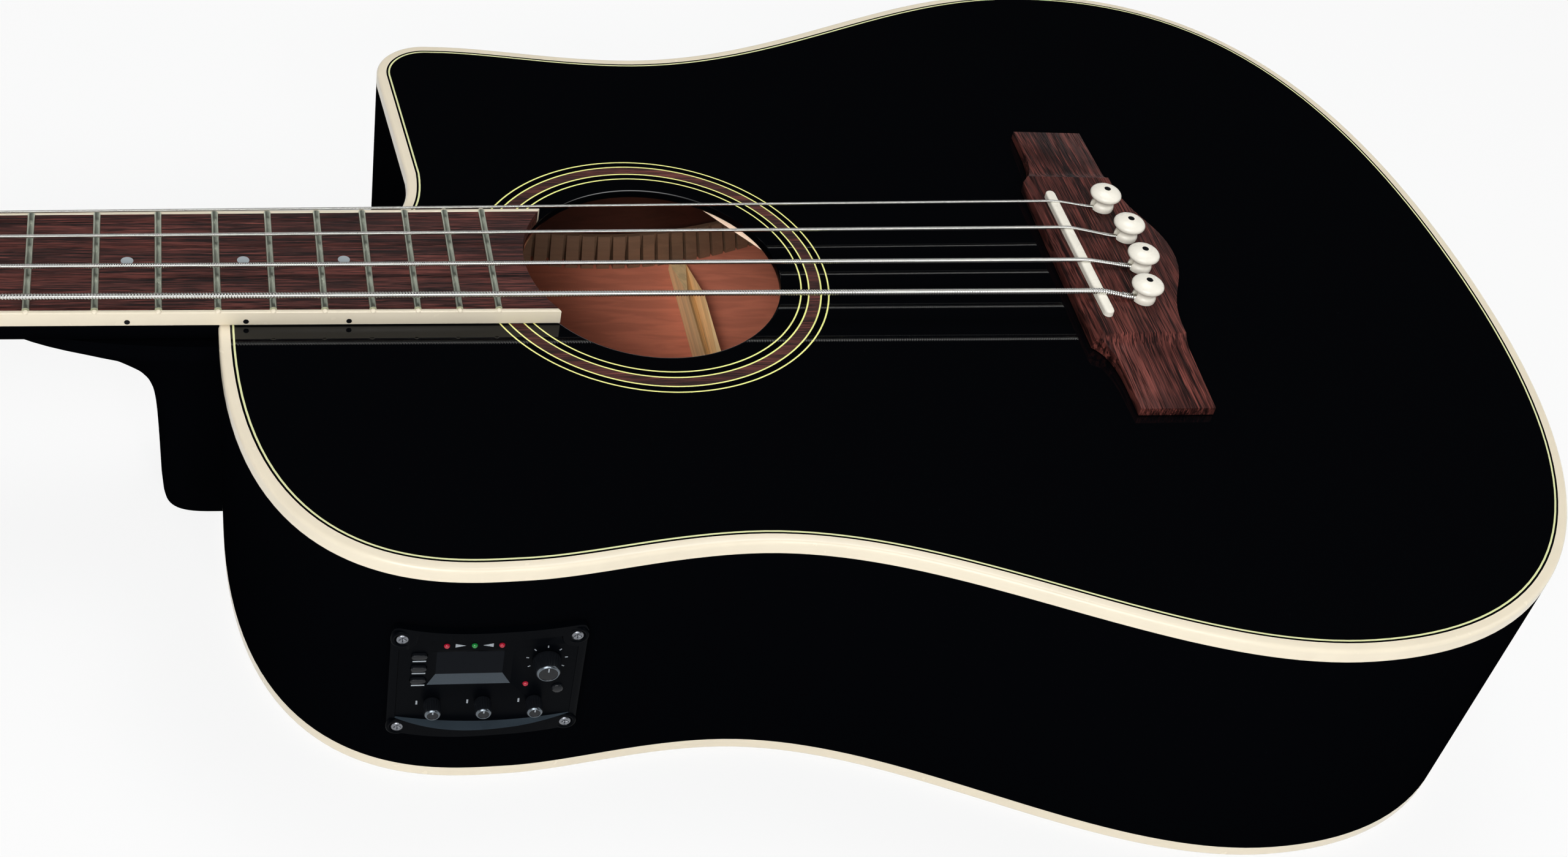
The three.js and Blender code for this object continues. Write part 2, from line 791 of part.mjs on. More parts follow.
function headPlan() {
  const half = new THREE.Path();
  const throat = boardHalf(nutX) - neckInset;
  half.moveTo(0, throat);
  half.lineTo(-headThroat, throat);
  half.bezierCurveTo(
    -mix(headThroat, headShoulder, throatShares[0]), throat,
    -mix(headThroat, headShoulder, throatShares[1]), headHalf,
    -headShoulder, headHalf);
  half.lineTo(-headLength, headTopHalf);
  half.quadraticCurveTo(-headLength - headCrown, headTopHalf / 2, -headLength - headCrown, 0);
  const treble = half.getPoints(shortCurveSteps);
  const bass = treble.slice(0, -1).map((point) => spot(point.x, -point.y)).reverse();
  return [...treble, ...bass];
}

const postPlaces = [
  { reach: nearPost.reach, y: -nearPost.half },
  { reach: farPost.reach, y: -farPost.half },
  { reach: farPost.reach, y: farPost.half },
  { reach: nearPost.reach, y: nearPost.half },
];

function headstock() {
  const board = slab(headPlan(), level(-headThickness), level(0));
  const holes = postPlaces.map(({ reach, y }) =>
    rod(postRadius + turningGap, -headThickness - overrun, overrun).translate(-reach, y, 0));
  return cut(board, ...holes).applyMatrix4(headFrame);
}

const rodHeight = neckTop - rodDepth;
const rodEnd = bodyX - rodBodyStop;

function neck() {
  const nutPocket = rodNutRadius + seam;
  const channel = rodRadius + seam;
  const head = headX - rodHeadReach - seam;
  const pocketEnd = headX - rodHeadReach + rodNutLength + seam;
  return cut(
    join(neckShaft(), heel(), headstock()),
    block(head, rodEnd + seam, -channel, channel, rodHeight - channel, neckTop + overrun),
    block(head, pocketEnd, -nutPocket, nutPocket, rodHeight - nutPocket, neckTop + overrun),
    strapSeat(),
  );
}

function trussRod() {
  const length = rodEnd - headX + rodHeadReach;
  const bar = turned([
    [0, 0],
    [rodNutRadius, 0],
    [rodNutRadius, rodNutLength],
    [rodRadius, rodNutLength],
    [rodRadius, length],
    [0, length],
  ], rodSides);
  return bar.rotateY(Math.PI / 2).translate(headX - rodHeadReach, 0, rodHeight);
}

function trussRodCover() {
  const plan = new THREE.Shape();
  plan.moveTo(-coverStart, -coverHalf);
  plan.lineTo(-coverStart, coverHalf);
  plan.quadraticCurveTo(-coverLength / 2, coverHalf, -coverLength, coverTipHalf);
  plan.quadraticCurveTo(-coverLength - coverTipHalf, 0, -coverLength, -coverTipHalf);
  plan.quadraticCurveTo(-coverLength / 2, -coverHalf, -coverStart, -coverHalf);
  const points = plan.getPoints(shortCurveSteps).slice(0, -1).reverse();
  return slab(points, level(seam), level(seam + coverThickness));
}

function fingerboard() {
  const cornerY = boardHalf(soundholeX - soundholeRadius);
  const swing = Math.asin(cornerY / soundholeRadius);
  const end = new THREE.EllipseCurve(
    soundholeX, 0, soundholeRadius, soundholeRadius, Math.PI + swing, Math.PI - swing, true);
  const plan = [spot(nutX, -boardHalf(nutX)), ...end.getPoints(longCurveSteps),
    spot(nutX, boardHalf(nutX))];
  const board = slab(plan, level(boardRise), level(boardTop));
  const frets = Array.from({ length: fretCount }, (_, i) => fretBar(fretX(i + 1)));
  return join(board, ...frets);
}

function fretBar(x) {
  const half = fretWidth / 2;
  const top = half * fretTopShare;
  const profile = new THREE.Shape([
    spot(-half, -fretSink), spot(half, -fretSink), spot(half, fretLip),
    spot(top, fretCrown), spot(-top, fretCrown), spot(-half, fretLip),
  ]);
  const reach = boardHalf(x) - boardBinding;
  const geometry = new THREE.ExtrudeGeometry(profile, { depth: 2 * reach, bevelEnabled: false });
  return geometry.rotateX(Math.PI / 2).translate(x, reach, boardTop);
}

function nut() {
  const half = boardHalf(nutX);
  const body = block(headX, nutX - seam, -half, half, neckTop + seam, nutTop);
  const slots = strings.map(({ diameter, nutY }) => {
    const reach = diameter / 2 + seam;
    return block(headX - overrun, nutX + overrun, nutY - reach, nutY + reach, nutRest - 2 * seam,
      nutTop + overrun);
  });
  return cut(body, ...slots);
}

// A route through given points, with one step of the sweep for each point
class Route extends THREE.Curve {
  constructor(points) {
    super();
    this.points = points;
  }
  getUtoTmapping(u) {
    return u;
  }
  getPoint(t) {
    const at = t * (this.points.length - 1);
    const i = Math.min(Math.floor(at), this.points.length - 2);
    return this.points[i].clone().lerp(this.points[i + 1], at - i);
  }
  getTangent(t) {
    const last = this.points.length - 1;
    const i = Math.round(t * last);
    const way = (from, to) => this.points[to].clone().sub(this.points[from]).normalize();
    const before = way(Math.max(i - 1, 0), Math.max(i, 1));
    const after = way(Math.min(i, last - 1), Math.min(i + 1, last));
    return before.add(after).normalize();
  }
}

// A string: up from its pin, over the saddle and the nut, and round its post
function stringRoute(index) {
  const { diameter, saddleY: acrossSaddle, nutY } = strings[index];
  const radius = diameter / 2;
  const pin = pinPlaces[index];
  const post = postPlaces[index];
  const side = Math.sign(post.y);
  const wrap = postWaistRadius + turningGap + radius;
  const pitch = diameter + windingGap;
  const start = new THREE.Vector3(pin.x - stringStart, pin.y, bridgeHeight + seam + radius);
  const saddleShift = -Math.tan(radians(saddleTurn)) * (acrossSaddle - saddleY);
  const overSaddle = new THREE.Vector3(
    saddleX + saddleShift, acrossSaddle, saddleTop + seam + radius);
  const overNut = new THREE.Vector3(nutX - nutThickness / 2, nutY, nutRest + radius);
  const winding = Array.from({ length: windingTurns * windingSteps + 1 }, (_, i) => {
    const turns = i / windingSteps;
    const angle = -side * (Math.PI / 2 + 2 * Math.PI * turns);
    const place = new THREE.Vector3(
      -post.reach + wrap * Math.cos(angle),
      post.y + wrap * Math.sin(angle),
      windingHigh - pitch * turns);
    return place.applyMatrix4(headFrame);
  });
  return [start, overSaddle, overNut, ...winding];
}

function string(index) {
  const radius = strings[index].diameter / 2;
  const section = Array.from({ length: stringSides }, (_, i) => {
    const turn = (2 * Math.PI * i) / stringSides;
    return spot(radius * Math.cos(turn), radius * Math.sin(turn));
  });
  const route = stringRoute(index);
  return new THREE.ExtrudeGeometry(new THREE.Shape(section), {
    steps: route.length - 1,
    extrudePath: new Route(route),
  });
}

// Tuning machines, in the headstock's own frame
const wormOffset = gearRadius + wormRadius + turningGap;
const gearMiddle = -headThickness - seam - gearDrop - gearThickness / 2;

function tunerHousing(side) {
  const pocket = {
    x1: -gearRadius - turningGap, x2: wormOffset + wormRadius + turningGap,
    half: wormHalf + turningGap,
  };
  const top = -headThickness - seam;
  const shell = block(pocket.x1 - housingWall, pocket.x2 + housingWall,
    -pocket.half - housingWall, pocket.half + housingWall, top - housingDepth, top);
  const hollow = block(pocket.x1, pocket.x2, -pocket.half, pocket.half,
    top - housingDepth + housingWall, top + overrun);
  const bore = rod(shaftRadius + turningGap, 0, buttonStart).rotateX((-side * Math.PI) / 2);
  return cut(shell, hollow, bore.translate(wormOffset, 0, gearMiddle));
}

function tunerPost() {
  const gearLow = gearMiddle - gearThickness / 2;
  const post = turned([
    [0, gearLow],
    [gearRadius, gearLow],
    [gearRadius, gearLow + gearThickness],
    [postRadius, gearLow + gearThickness],
    [postRadius, postWaistLow - (postRadius - postWaistRadius)],
    [postWaistRadius, postWaistLow],
    [postWaistRadius, postWaistHigh],
    [postCapRadius, postCapLow],
    [postCapRadius, postTop],
    [0, postTop],
  ]);
  const slotHalf = postSlotWidth / 2;
  const slot = block(-postCapRadius - overrun, postCapRadius + overrun, -slotHalf, slotHalf,
    postTop - postSlotDepth, postTop + overrun);
  return cut(post, slot);
}

function tunerButton() {
  const end = buttonStart + buttonLength;
  const round = buttonRadius * buttonRoundShare;
  const grip = turned([
    [0, buttonStart],
    [buttonNeckRadius, buttonStart],
    [buttonRadius - round, buttonStart + round],
    ...buttonWidestShares.map((share) => [buttonRadius, buttonStart + buttonLength * share]),
    [buttonRadius - round, end - round / 2],
    [0, end],
  ]);
  grip.scale(1, buttonFlatShare, 1);
  const shaft = turned([
    [0, -wormHalf],
    [wormRadius, -wormHalf],
    [wormRadius, wormHalf],
    [shaftRadius, wormHalf],
    [shaftRadius, buttonStart + round],
    [0, buttonStart + round],
  ]);
  return join(grip, shaft);
}

// Preamp: a panel that follows the wall, with a flat floor sunk in it, and a case behind the floor
const onBass = (x) => {
  const end = bassOutline.findIndex((point) => point.x > x);
  const [from, to] = [bassOutline[end - 1], bassOutline[end]];
  return from.clone().lerp(to, (x - from.x) / (to.x - from.x));
};
const panelX = panelReaches.map((reach) => bodyX + reach);
const panelEnds = panelX.map(onBass);
const panelAlong = panelEnds[1].clone().sub(panelEnds[0]).normalize();
const panelOut = spot(panelAlong.y, -panelAlong.x);
const panelMiddle = panelEnds[0].clone().lerp(panelEnds[1], middleShare);

// The floor stands a little over the lowest place of the wall behind it
const wallRises = stretch(bassOutline, panelMiddle.x - socketHalf, panelMiddle.x + socketHalf)
  .map((point) => point.clone().sub(panelMiddle).dot(panelOut));
panelMiddle.addScaledVector(panelOut, Math.min(...wallRises) + floorLift);

// A frame on the panel's floor: X along the body, Y up and Z out of the wall
const panelFrame = new THREE.Matrix4()
  .makeBasis(
    new THREE.Vector3(panelAlong.x, panelAlong.y, 0),
    new THREE.Vector3(0, 0, 1),
    new THREE.Vector3(panelOut.x, panelOut.y, 0))
  .setPosition(panelMiddle.x, panelMiddle.y, 0);

// A block set in the panel's frame behind its floor, a margin larger than the pocket
function socket(margin, back, front) {
  const half = socketHalf + margin;
  const reach = pocketWall + margin;
  return block(-half, half, pocketZ[0] - reach, pocketZ[1] + reach, back, front)
    .applyMatrix4(panelFrame);
}

function pocketPlan() {
  const corner = pocketHalf - pocketCorner;
  const bow = (x) => spot(x, pocketZ[0] + pocketBow * (x / pocketHalf) ** 2);
  const foot = pocketFootShares.map((share) => bow(share * pocketHalf));
  return [
    ...foot,
    spot(pocketHalf, pocketZ[1] - pocketCorner),
    spot(corner, pocketZ[1]),
    spot(-corner, pocketZ[1]),
    spot(-pocketHalf, pocketZ[1] - pocketCorner),
  ];
}

function preampPanel() {
  const face = -seam - panelThickness;
  const frame = rimStrip(stretch(bassOutline, ...panelX),
    boxed(face, -seam, level(panelZ[0]), level(panelZ[1])));
  const filled = rimStrip(stretch(bassOutline, ...panelX),
    boxed(face, caseDepth, level(panelZ[0]), level(panelZ[1])));
  const floor = common(filled, socket(0, -floorThickness, caseDepth));
  const high = caseDepth;
  const cutters = [
    slab(pocketPlan(), level(0), level(high)),
    ...[volumeKnob, ...toneKnobs.map(({ x }) => ({ x, z: toneKnobZ }))].map(({ x, z }) =>
      rod(stemRadius + turningGap, -high, high).translate(x, z, 0)),
    rod(phaseButton.radius + turningGap, -high, high).translate(phaseButton.x, phaseButton.z, 0),
    ...pushButtons.map(({ z }) => {
      const half = pushButtonLength / 2 + turningGap;
      const rise = pushButtonHeight / 2 + turningGap;
      return block(pushButtonX - half, pushButtonX + half, z - rise, z + rise, -high, high);
    }),
  ];
  return cut(join(frame, floor), ...cutters.map((cutter) => cutter.applyMatrix4(panelFrame)));
}

const preampCase = () => socket(0, -floorThickness - seam - caseDepth, -floorThickness - seam);
const bassSide = () => cut(side(bassOutline), socket(seam, -caseDepth, caseDepth), jackCutter());
const trebleSide = () => cut(side(trebleOutline), jackCutter());

function knob(radius, faceRadius, length) {
  const rim = faceRadius * knobRimShare;
  return turned([
    [0, -floorThickness],
    [stemRadius, -floorThickness],
    [stemRadius, seam],
    [radius, seam],
    [faceRadius, length - rim],
    [faceRadius - rim, length],
    [0, length],
  ]);
}

const pushButton = () =>
  block(-pushButtonLength / 2, pushButtonLength / 2, -pushButtonHeight / 2,
    pushButtonHeight / 2, -buttonSunk, buttonProud);
const roundButton = () => rod(phaseButton.radius, -buttonSunk, buttonProud);

// Output jack in the tail, and the strap button on the heel
const jackHeight = mix(0, backHeight(tailX), jackDepthShare);

function jackCutter() {
  const reach = tailBlockLength + overrun;
  return rod(jackRadius + seam, -reach, overrun)
    .rotateY(Math.PI / 2)
    .translate(tailX, 0, jackHeight);
}

function outputJack() {
  const flangeTop = jackProud - jackFlangeThickness;
  return turned([
    [0, -jackInside],
    [jackRadius, -jackInside],
    [jackRadius, seam],
    [jackFlange, seam],
    [jackFlange, jackFlangeThickness],
    [jackWaist, 2 * jackFlangeThickness],
    [jackWaist, flangeTop - jackFlangeThickness],
    [jackLip, flangeTop],
    [jackLip, jackProud],
    [jackBore, jackProud],
    [jackBore, jackProud - jackBoreDepth],
    [0, jackProud - jackBoreDepth],
  ]);
}

// The strap button's frame on the side of the heel, with its Z out of the wood
function strapFrame() {
  const [shallower, deeper] = heelStations.slice(-2);
  const share = (strapButtonDepth - shallower.depth) / (deeper.depth - shallower.depth);
  const reach = mix(shallower.reach, deeper.reach, share);
  const half = mix(shallower.half, deeper.half, share);
  const turn = Math.asin(strapButtonX / reach);
  const out = new THREE.Vector3(-half * Math.sin(turn), reach * Math.cos(turn), 0).normalize();
  const up = new THREE.Vector3(0, 0, 1);
  const along = new THREE.Vector3().crossVectors(up, out);
  return new THREE.Matrix4()
    .makeBasis(along, up, out)
    .setPosition(bodyX - seam - strapButtonX, half * Math.cos(turn), -strapButtonDepth);
}

function strapSeat() {
  const screw = rod(strapScrewRadius + seam, -strapScrewLength - seam, overrun);
  return join(screw, rod(strapButtonWaist + seam, -seam, overrun)).applyMatrix4(strapFrame());
}

function strapButton() {
  const [waistTop, lipLow, lipHigh] = strapButtonShares.map((share) => share * strapButtonProud);
  return turned([
    [0, -strapScrewLength],
    [strapScrewRadius, -strapScrewLength],
    [strapScrewRadius, 0],
    [strapButtonWaist, 0],
    [strapButtonWaist, waistTop],
    [strapButtonRadius, lipLow],
    [strapButtonRadius, lipHigh],
    [0, strapButtonProud],
  ]);
}

// The assembly
const guitar = new THREE.Group();
const instrument = new THREE.Group();
const headGroup = new THREE.Group();
const taperAngle = Math.atan(taper);
instrument.rotation.y = -taperAngle;
instrument.position.z = depthAtSaddle * Math.cos(taperAngle);
headGroup.applyMatrix4(headFrame);
instrument.add(headGroup);
guitar.add(instrument);

function place(name, geometry, material, parent = instrument) {
  const mesh = new THREE.Mesh(geometry, material);
  mesh.name = name;
  parent.add(mesh);
  return mesh;
}

place("soundboard", soundboard(), blackGloss);
place("back_plate", backPlate(), blackGloss);
place("bass_side", bassSide(), blackGloss);
place("treble_side", trebleSide(), blackGloss);
place("top_binding", topBinding(), creamPlastic);
place("back_binding", backBinding(), creamPlastic);
place("top_lining_bass", topLining(bassOutline), mahogany);
place("top_lining_treble", topLining(trebleOutline), mahogany);
place("back_lining_bass", backLining(bassOutline), mahogany);
place("back_lining_treble", backLining(trebleOutline), mahogany);
place("neck_block", neckBlock(), mahogany);
place("tail_block", tailBlock(), mahogany);
place("x_brace_bass", crossBrace(1, true), spruce);
place("x_brace_treble", crossBrace(-1, false), spruce);
const upperBrace = layBrace(spot(bodyX + upperBraceReach, 0), 90, upperBraceWidth, braceHeight);
place("upper_brace", upperBrace.translate(0, 0, underTop), spruce);
for (const [name, reach] of Object.entries(backBraceReaches)) {
  place(`back_brace_${name}`, backBrace(bodyX + reach), spruce);
}
place("bridge_plate", bridgePlate(), rosewood);
place("rosette", rosette(), rosewood);
place("bridge", bridge(), rosewood);
place("saddle", saddle(), ivoryPlastic);
place("saddle_pickup", pickup(), steelRod);
place("neck", neck(), blackGloss);
place("fingerboard", fingerboard(), rosewood);
place("nut", nut(), ivoryPlastic);
place("truss_rod", trussRod(), steelRod);
place("truss_rod_cover", trussRodCover(), blackPlastic, headGroup);

strings.forEach(({ name }, i) => {
  place("string_" + name, string(i), nickelWire);
  const pin = place("bridge_pin_" + name, bridgePin(), ivoryPlastic);
  pin.position.set(pinPlaces[i].x, pinPlaces[i].y, bridgeHeight);
  const { reach, y } = postPlaces[i];
  const side = Math.sign(y);
  const tuner = new THREE.Group();
  tuner.position.set(-reach, y, 0);
  headGroup.add(tuner);
  place("tuner_housing_" + name, tunerHousing(side), chromePlate, tuner);
  place("tuner_post_" + name, tunerPost(), chromePlate, tuner);
  const button = place("tuner_button_" + name, tunerButton(), chromePlate, tuner);
  button.position.set(wormOffset, 0, gearMiddle);
  button.rotation.x = (-side * Math.PI) / 2;
});

place("preamp_panel", preampPanel(), blackPlastic);
place("preamp_case", preampCase(), blackPlastic);
const panelGroup = new THREE.Group();
panelGroup.applyMatrix4(panelFrame);
instrument.add(panelGroup);
function onPanel(name, geometry, x, z) {
  place(name, geometry, blackPlastic, panelGroup).position.set(x, z, 0);
}
const volume = knob(volumeKnob.radius, volumeKnob.faceRadius, volumeKnob.length);
onPanel("volume_knob", volume, volumeKnob.x, volumeKnob.z);
for (const { name, x } of toneKnobs) {
  onPanel(name, knob(toneKnobRadius, toneFaceRadius, toneKnobLength), x, toneKnobZ);
}
for (const { name, z } of pushButtons) onPanel(name, pushButton(), pushButtonX, z);
onPanel("phase_button", roundButton(), phaseButton.x, phaseButton.z);

const jack = place("output_jack", outputJack(), chromePlate);
jack.rotation.y = Math.PI / 2;
jack.position.set(tailX, 0, jackHeight);
place("strap_button", strapButton(), chromePlate).applyMatrix4(strapFrame());

export default guitar;
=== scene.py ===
"""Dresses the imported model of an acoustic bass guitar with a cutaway, in metres.

Lengths inside the makers are millimetres in the instrument's own frame: the top at height zero,
X from the headstock to the tail, Y to the treble side. Each maker's frame turns them into the
model's metres.
"""

import math
from types import SimpleNamespace

import bmesh
import bpy
from bpy.props import FloatProperty, FloatVectorProperty, IntProperty, PointerProperty
from mathutils import Matrix, Vector


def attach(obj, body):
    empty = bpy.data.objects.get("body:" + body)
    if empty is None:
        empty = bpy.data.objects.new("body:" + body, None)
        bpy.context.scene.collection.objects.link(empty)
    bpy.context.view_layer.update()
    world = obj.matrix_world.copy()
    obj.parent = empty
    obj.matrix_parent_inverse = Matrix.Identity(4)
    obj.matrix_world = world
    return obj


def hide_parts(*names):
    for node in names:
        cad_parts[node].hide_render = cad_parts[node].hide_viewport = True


bl_info = {
    "name": "Acoustic bass guitar",
    "version": (1, 0, 0),
    "blender": (4, 5, 0),
    "location": "3D View > Sidebar > Bass guitar",
    "description": "Makes the visible pieces of an acoustic bass guitar on its packed frame",
    "category": "Add Mesh",
}

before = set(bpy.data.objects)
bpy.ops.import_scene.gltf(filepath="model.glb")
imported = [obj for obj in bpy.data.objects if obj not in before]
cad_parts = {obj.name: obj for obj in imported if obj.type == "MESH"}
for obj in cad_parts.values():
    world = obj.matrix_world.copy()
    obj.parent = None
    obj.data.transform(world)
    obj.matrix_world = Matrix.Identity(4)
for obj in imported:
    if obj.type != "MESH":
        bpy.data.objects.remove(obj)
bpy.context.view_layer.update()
ROOT = "guitar"

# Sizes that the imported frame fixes
SCALE_LENGTH = 864
BODY_X = -SCALE_LENGTH * 2 ** (-16 / 12)
TAIL_X = 185.5
DEPTH_AT_NECK = 108
DEPTH_AT_TAIL = 128
SEAM = 0.3
UPPER = (-248, 154)
WAIST = (-169, 146.5)
LOWER = (45, 211.5)
SHOULDER_HALF = 33
HORN_CENTRE = (-252.5, 132)
HORN_RADIUS = 22
CUTAWAY = ((-274.5, 131), (-268.5, 62), (-300, 28))
SOUNDHOLE = Vector((-178.4, 0, 0))
HOLE_RADIUS = 51
ROSETTE = (58.6, 70.6)
CHANNEL_FLOOR = -1.2
SHEET = 3.2
SIDE_WALL = 2.6
LINING_SECTION = (7.4, 15)
NECK_BLOCK_HALF = 38
TAIL_BLOCK_HALF = 34
BACK_BRACES = ("upper_brace", "back_brace_upper", "back_brace_middle", "back_brace_lower")
CROSSED_BRACES = ("x_brace_bass", "x_brace_treble")
BOARD_LOW = 0.4
BOARD_TOP = 6.4
NECK_TOP = 0.1
NUT_X = -SCALE_LENGTH
NUT_HALF = 22.8
BOARD_WIDENING = 8.2
BINDING_LIP = 0.4
NECK_DEPTHS = (15.5, 18.5)
HEAD_X = NUT_X - 5
HEAD_TILT = math.radians(10)
HEAD_THICKNESS = 15
WASHER = 2.2
GEAR_RADIUS = 6.6
GEAR_HEIGHT = 4
GEAR_LOW = -HEAD_THICKNESS - SEAM - WASHER - GEAR_HEIGHT
WORM_RADIUS = 2.9
POST_RADIUS = 4
WINDING_TOP = 11.4
BRIDGE_TURN = math.radians(-1.3)
BRIDGE_HEIGHT = 8.5
SADDLE_PLACE = (-1.1, -1.8, 0)
SADDLE_TURN = math.radians(0.3)
SADDLE_TOP = 11.1
PIN_PLACES = ((18.9, -30), (23.4, -10), (23.4, 10), (18.9, 30))
PIN_TURN = math.radians(-2.6)
STRINGS = {
    "e": (2.5, -29.8, -19.3),
    "a": (2.0, -9.8, -5.6),
    "d": (1.5, 11.8, 6.8),
    "g": (1.15, 29.8, 17.7),
}
POST_PLACES = ((-55, -24), (-125, -17), (-125, 17), (-55, 24))
NUT_REST = 8
PANEL_X = (-289.8, -223.8)
PANEL_Z = (-83.8, -28.3)
FLOOR_RISE = 3
WINDOW_FRAME = (-20.4, 8.4, -58.9, -40.9)
WINDOW_PANE = (-17.5, 5.5, -54.8, -43.2)
LAMP_Z = -38.4
TONE_KNOBS = {"bass": -18.1, "middle": -0.5, "treble": 17.4}
TONE_Z = -68.3
VOLUME = (20.2, -46.6)
PUSH_BUTTONS = {"note": -43.3, "pitch": -49.7, "power": -56.1}
PUSH_X = -23.5
PHASE = (25.2, -62)

# How far the control points of the outline's curves reach along them
SHOULDER_SHARES = (1.05, 0.25)
UPPER_SHARES = (0.29, 0.38)
WAIST_SHARES = (0.35, 0.36)
TAIL_SHARES = (0.61, 0.72)
CUTAWAY_SHARES = (0.8, 0.7)

# Sizes that only the dressed pieces have
RING_RADII = (59.1, 62.2, 67.1, 70.2)
LINING_WEB = 1.1
MARK_HEIGHTS = (-0.1, 0.05)

# Camera and lights, in metres
CAMERA_PLACE = (-0.36583, -0.60427, 0.60623)
CAMERA_RIGHT = Vector((0.95496, -0.21541, 0.20408))
CAMERA_UP = Vector((0.00131, 0.69079, 0.72305))
LIT_PLACE = Vector((-0.1, 0, 0.1))
KEY_PLACE = (-1.2, -2.1, 1.95)

# Frames, from millimetres to the model's metres
MM = 0.001
SLOPE = (DEPTH_AT_TAIL - DEPTH_AT_NECK) / (TAIL_X - BODY_X)
TAPER = math.atan(SLOPE)
DEPTH_AT_SADDLE = DEPTH_AT_NECK - SLOPE * BODY_X
INSTRUMENT = (
    Matrix.Scale(MM, 4)
    @ Matrix.Translation((0, 0, DEPTH_AT_SADDLE * math.cos(TAPER)))
    @ Matrix.Rotation(-TAPER, 4, "Y")
)
HEAD = (
    INSTRUMENT @ Matrix.Translation((HEAD_X, 0, NECK_TOP)) @ Matrix.Rotation(-HEAD_TILT, 4, "Y"))
BRIDGE = INSTRUMENT @ Matrix.Rotation(BRIDGE_TURN, 4, "Z")
SADDLE = (
    INSTRUMENT @ Matrix.Translation(SADDLE_PLACE) @ Matrix.Rotation(SADDLE_TURN, 4, "Z"))
PIN_ROW = Matrix.Rotation(PIN_TURN, 4, "Z")
UNPLACED = Matrix.Identity(4)


# What can be set in the panel
def length_of(name, description, size):
    return FloatProperty(name=name, description=description, default=size * MM, unit="LENGTH")


def share_of(name, description, share):
    return FloatProperty(name=name, description=description, default=share, subtype="FACTOR")


def power_of(name, description, watts):
    return FloatProperty(name=name, description=description, default=watts, unit="POWER")


def colour_of(name, description, *colour):
    return FloatVectorProperty(
        name=name, description=description, subtype="COLOR", default=colour)


class BodySizes(bpy.types.PropertyGroup):
    binding_width: length_of("Binding width", "Width of the top binding", 4)
    binding_height: length_of("Binding height", "Height of both bindings", 5.6)
    binding_round: length_of("Binding rounding", "Radius of the binding's outer edge", 1.5)
    back_binding_width: length_of("Back binding width", "Width of the back binding", 3.2)
    black_line: length_of("Black line", "Width of the black line beside the binding", 0.8)
    pale_line: length_of("Pale line", "Width of the pale line inside the black one", 0.7)
    ring_line: length_of("Ring line", "Width of each thin ring of the rosette", 0.6)
    kerf_pitch: length_of("Kerf pitch", "Distance from block to block along a lining", 7.3)
    kerf_gap: length_of("Kerf gap", "Width of each saw cut in a lining", 1.5)


class NeckSizes(bpy.types.PropertyGroup):
    fret_count: IntProperty(name="Frets", description="Number of frets", default=22, min=1)
    fret_width: length_of("Fret width", "Width of a fret's crown", 2.5)
    fret_height: length_of("Fret height", "Height of a fret over the board", 1.1)
    board_binding: length_of("Board binding", "Width of the binding strips beside the board", 1.8)
    face_dot: length_of("Face dot", "Diameter of a dot on the board", 4.4)
    side_dot: length_of("Side dot", "Diameter of a dot on the board's side", 2)


class StringSizes(bpy.types.PropertyGroup):
    winding_share: share_of("Winding", "Pitch of the winding as a share of the diameter", 0.42)
    winding_depth: share_of("Winding depth", "Depth of the grooves as a share of the radius", 0.34)
    wrap_length: length_of("Wrap", "Length of the thicker wrap at the ball end", 10)


class Colours(bpy.types.PropertyGroup):
    lacquer: colour_of("Lacquer", "Black lacquer", 0.0012, 0.0014, 0.002)
    binding: colour_of("Binding", "Cream binding", 0.88, 0.79, 0.62)
    pale: colour_of("Pale line", "Thin line inside the binding's black one", 0.78, 0.8, 0.44)
    ring: colour_of("Ring", "Thin rings of the rosette", 1.0, 1.0, 0.36)
    rosewood_light: colour_of("Light rosewood", "Pale streaks of the rosewood", 0.17, 0.048, 0.038)
    rosewood_dark: colour_of("Dark rosewood", "Dark streaks of the rosewood", 0.012, 0.004, 0.004)
    mahogany: colour_of("Mahogany", "Bare inside of the back and the sides", 0.56, 0.175, 0.105)
    spruce: colour_of("Spruce", "Braces of the back", 1.0, 0.7, 0.36)
    # Spruce lightened to paint the light that falls on the crossed braces
    pale_spruce: colour_of("Pale spruce", "Braces under the top", 1.0, 0.74, 0.56)
    lining: colour_of("Lining", "Kerfed linings", 0.33, 0.2, 0.122)
    ivory: colour_of("Ivory", "Saddle, nut and pins", 0.93, 0.89, 0.78)


class StageSettings(bpy.types.PropertyGroup):
    lens: FloatProperty(
        name="Lens", description="Focal length on a sensor 36 mm wide", default=46.775,
        unit="CAMERA")
    key_power: power_of("Key light", "Power of the large light by the camera", 200)
    tail_power: power_of("Tail light", "Power of the light at the tail", 28)
    top_power: power_of("Top light", "Power of the light over the soundhole", 24)
    panel_power: power_of("Panel light", "Power of the small light before the preamp", 7)
    inside_power: power_of("Inside light", "Power of the light for what is inside the body", 220)
    brace_power: power_of("Brace light", "Power of the light for the crossed braces", 280)
    room_light: FloatProperty(
        name="Room light", description="Strength of the light from all round", default=0.14)
    shade: share_of("Floor shade", "How much of the shadow shows on the white floor", 0.16)


def millimetres(group):
    """A group's values, with its lengths in millimetres."""
    values = {}
    for key, prop in group.bl_rna.properties.items():
        if key in group.__annotations__:
            value = getattr(group, key)
            values[key] = value / MM if getattr(prop, "unit", "") == "LENGTH" else value
    return SimpleNamespace(**values)


# Node trees
class Value:
    """An output of a node, which Python's operators turn into Math nodes."""

    def __init__(self, graph, socket):
        self.graph = graph
        self.socket = socket

    def joined(self, operation, other, swapped=False):
        terms = (other, self) if swapped else (self, other)
        return self.graph.node("ShaderNodeMath", {"operation": operation}, terms)


def operator_of(operation, swapped=False):
    return lambda value, other: value.joined(operation, other, swapped)


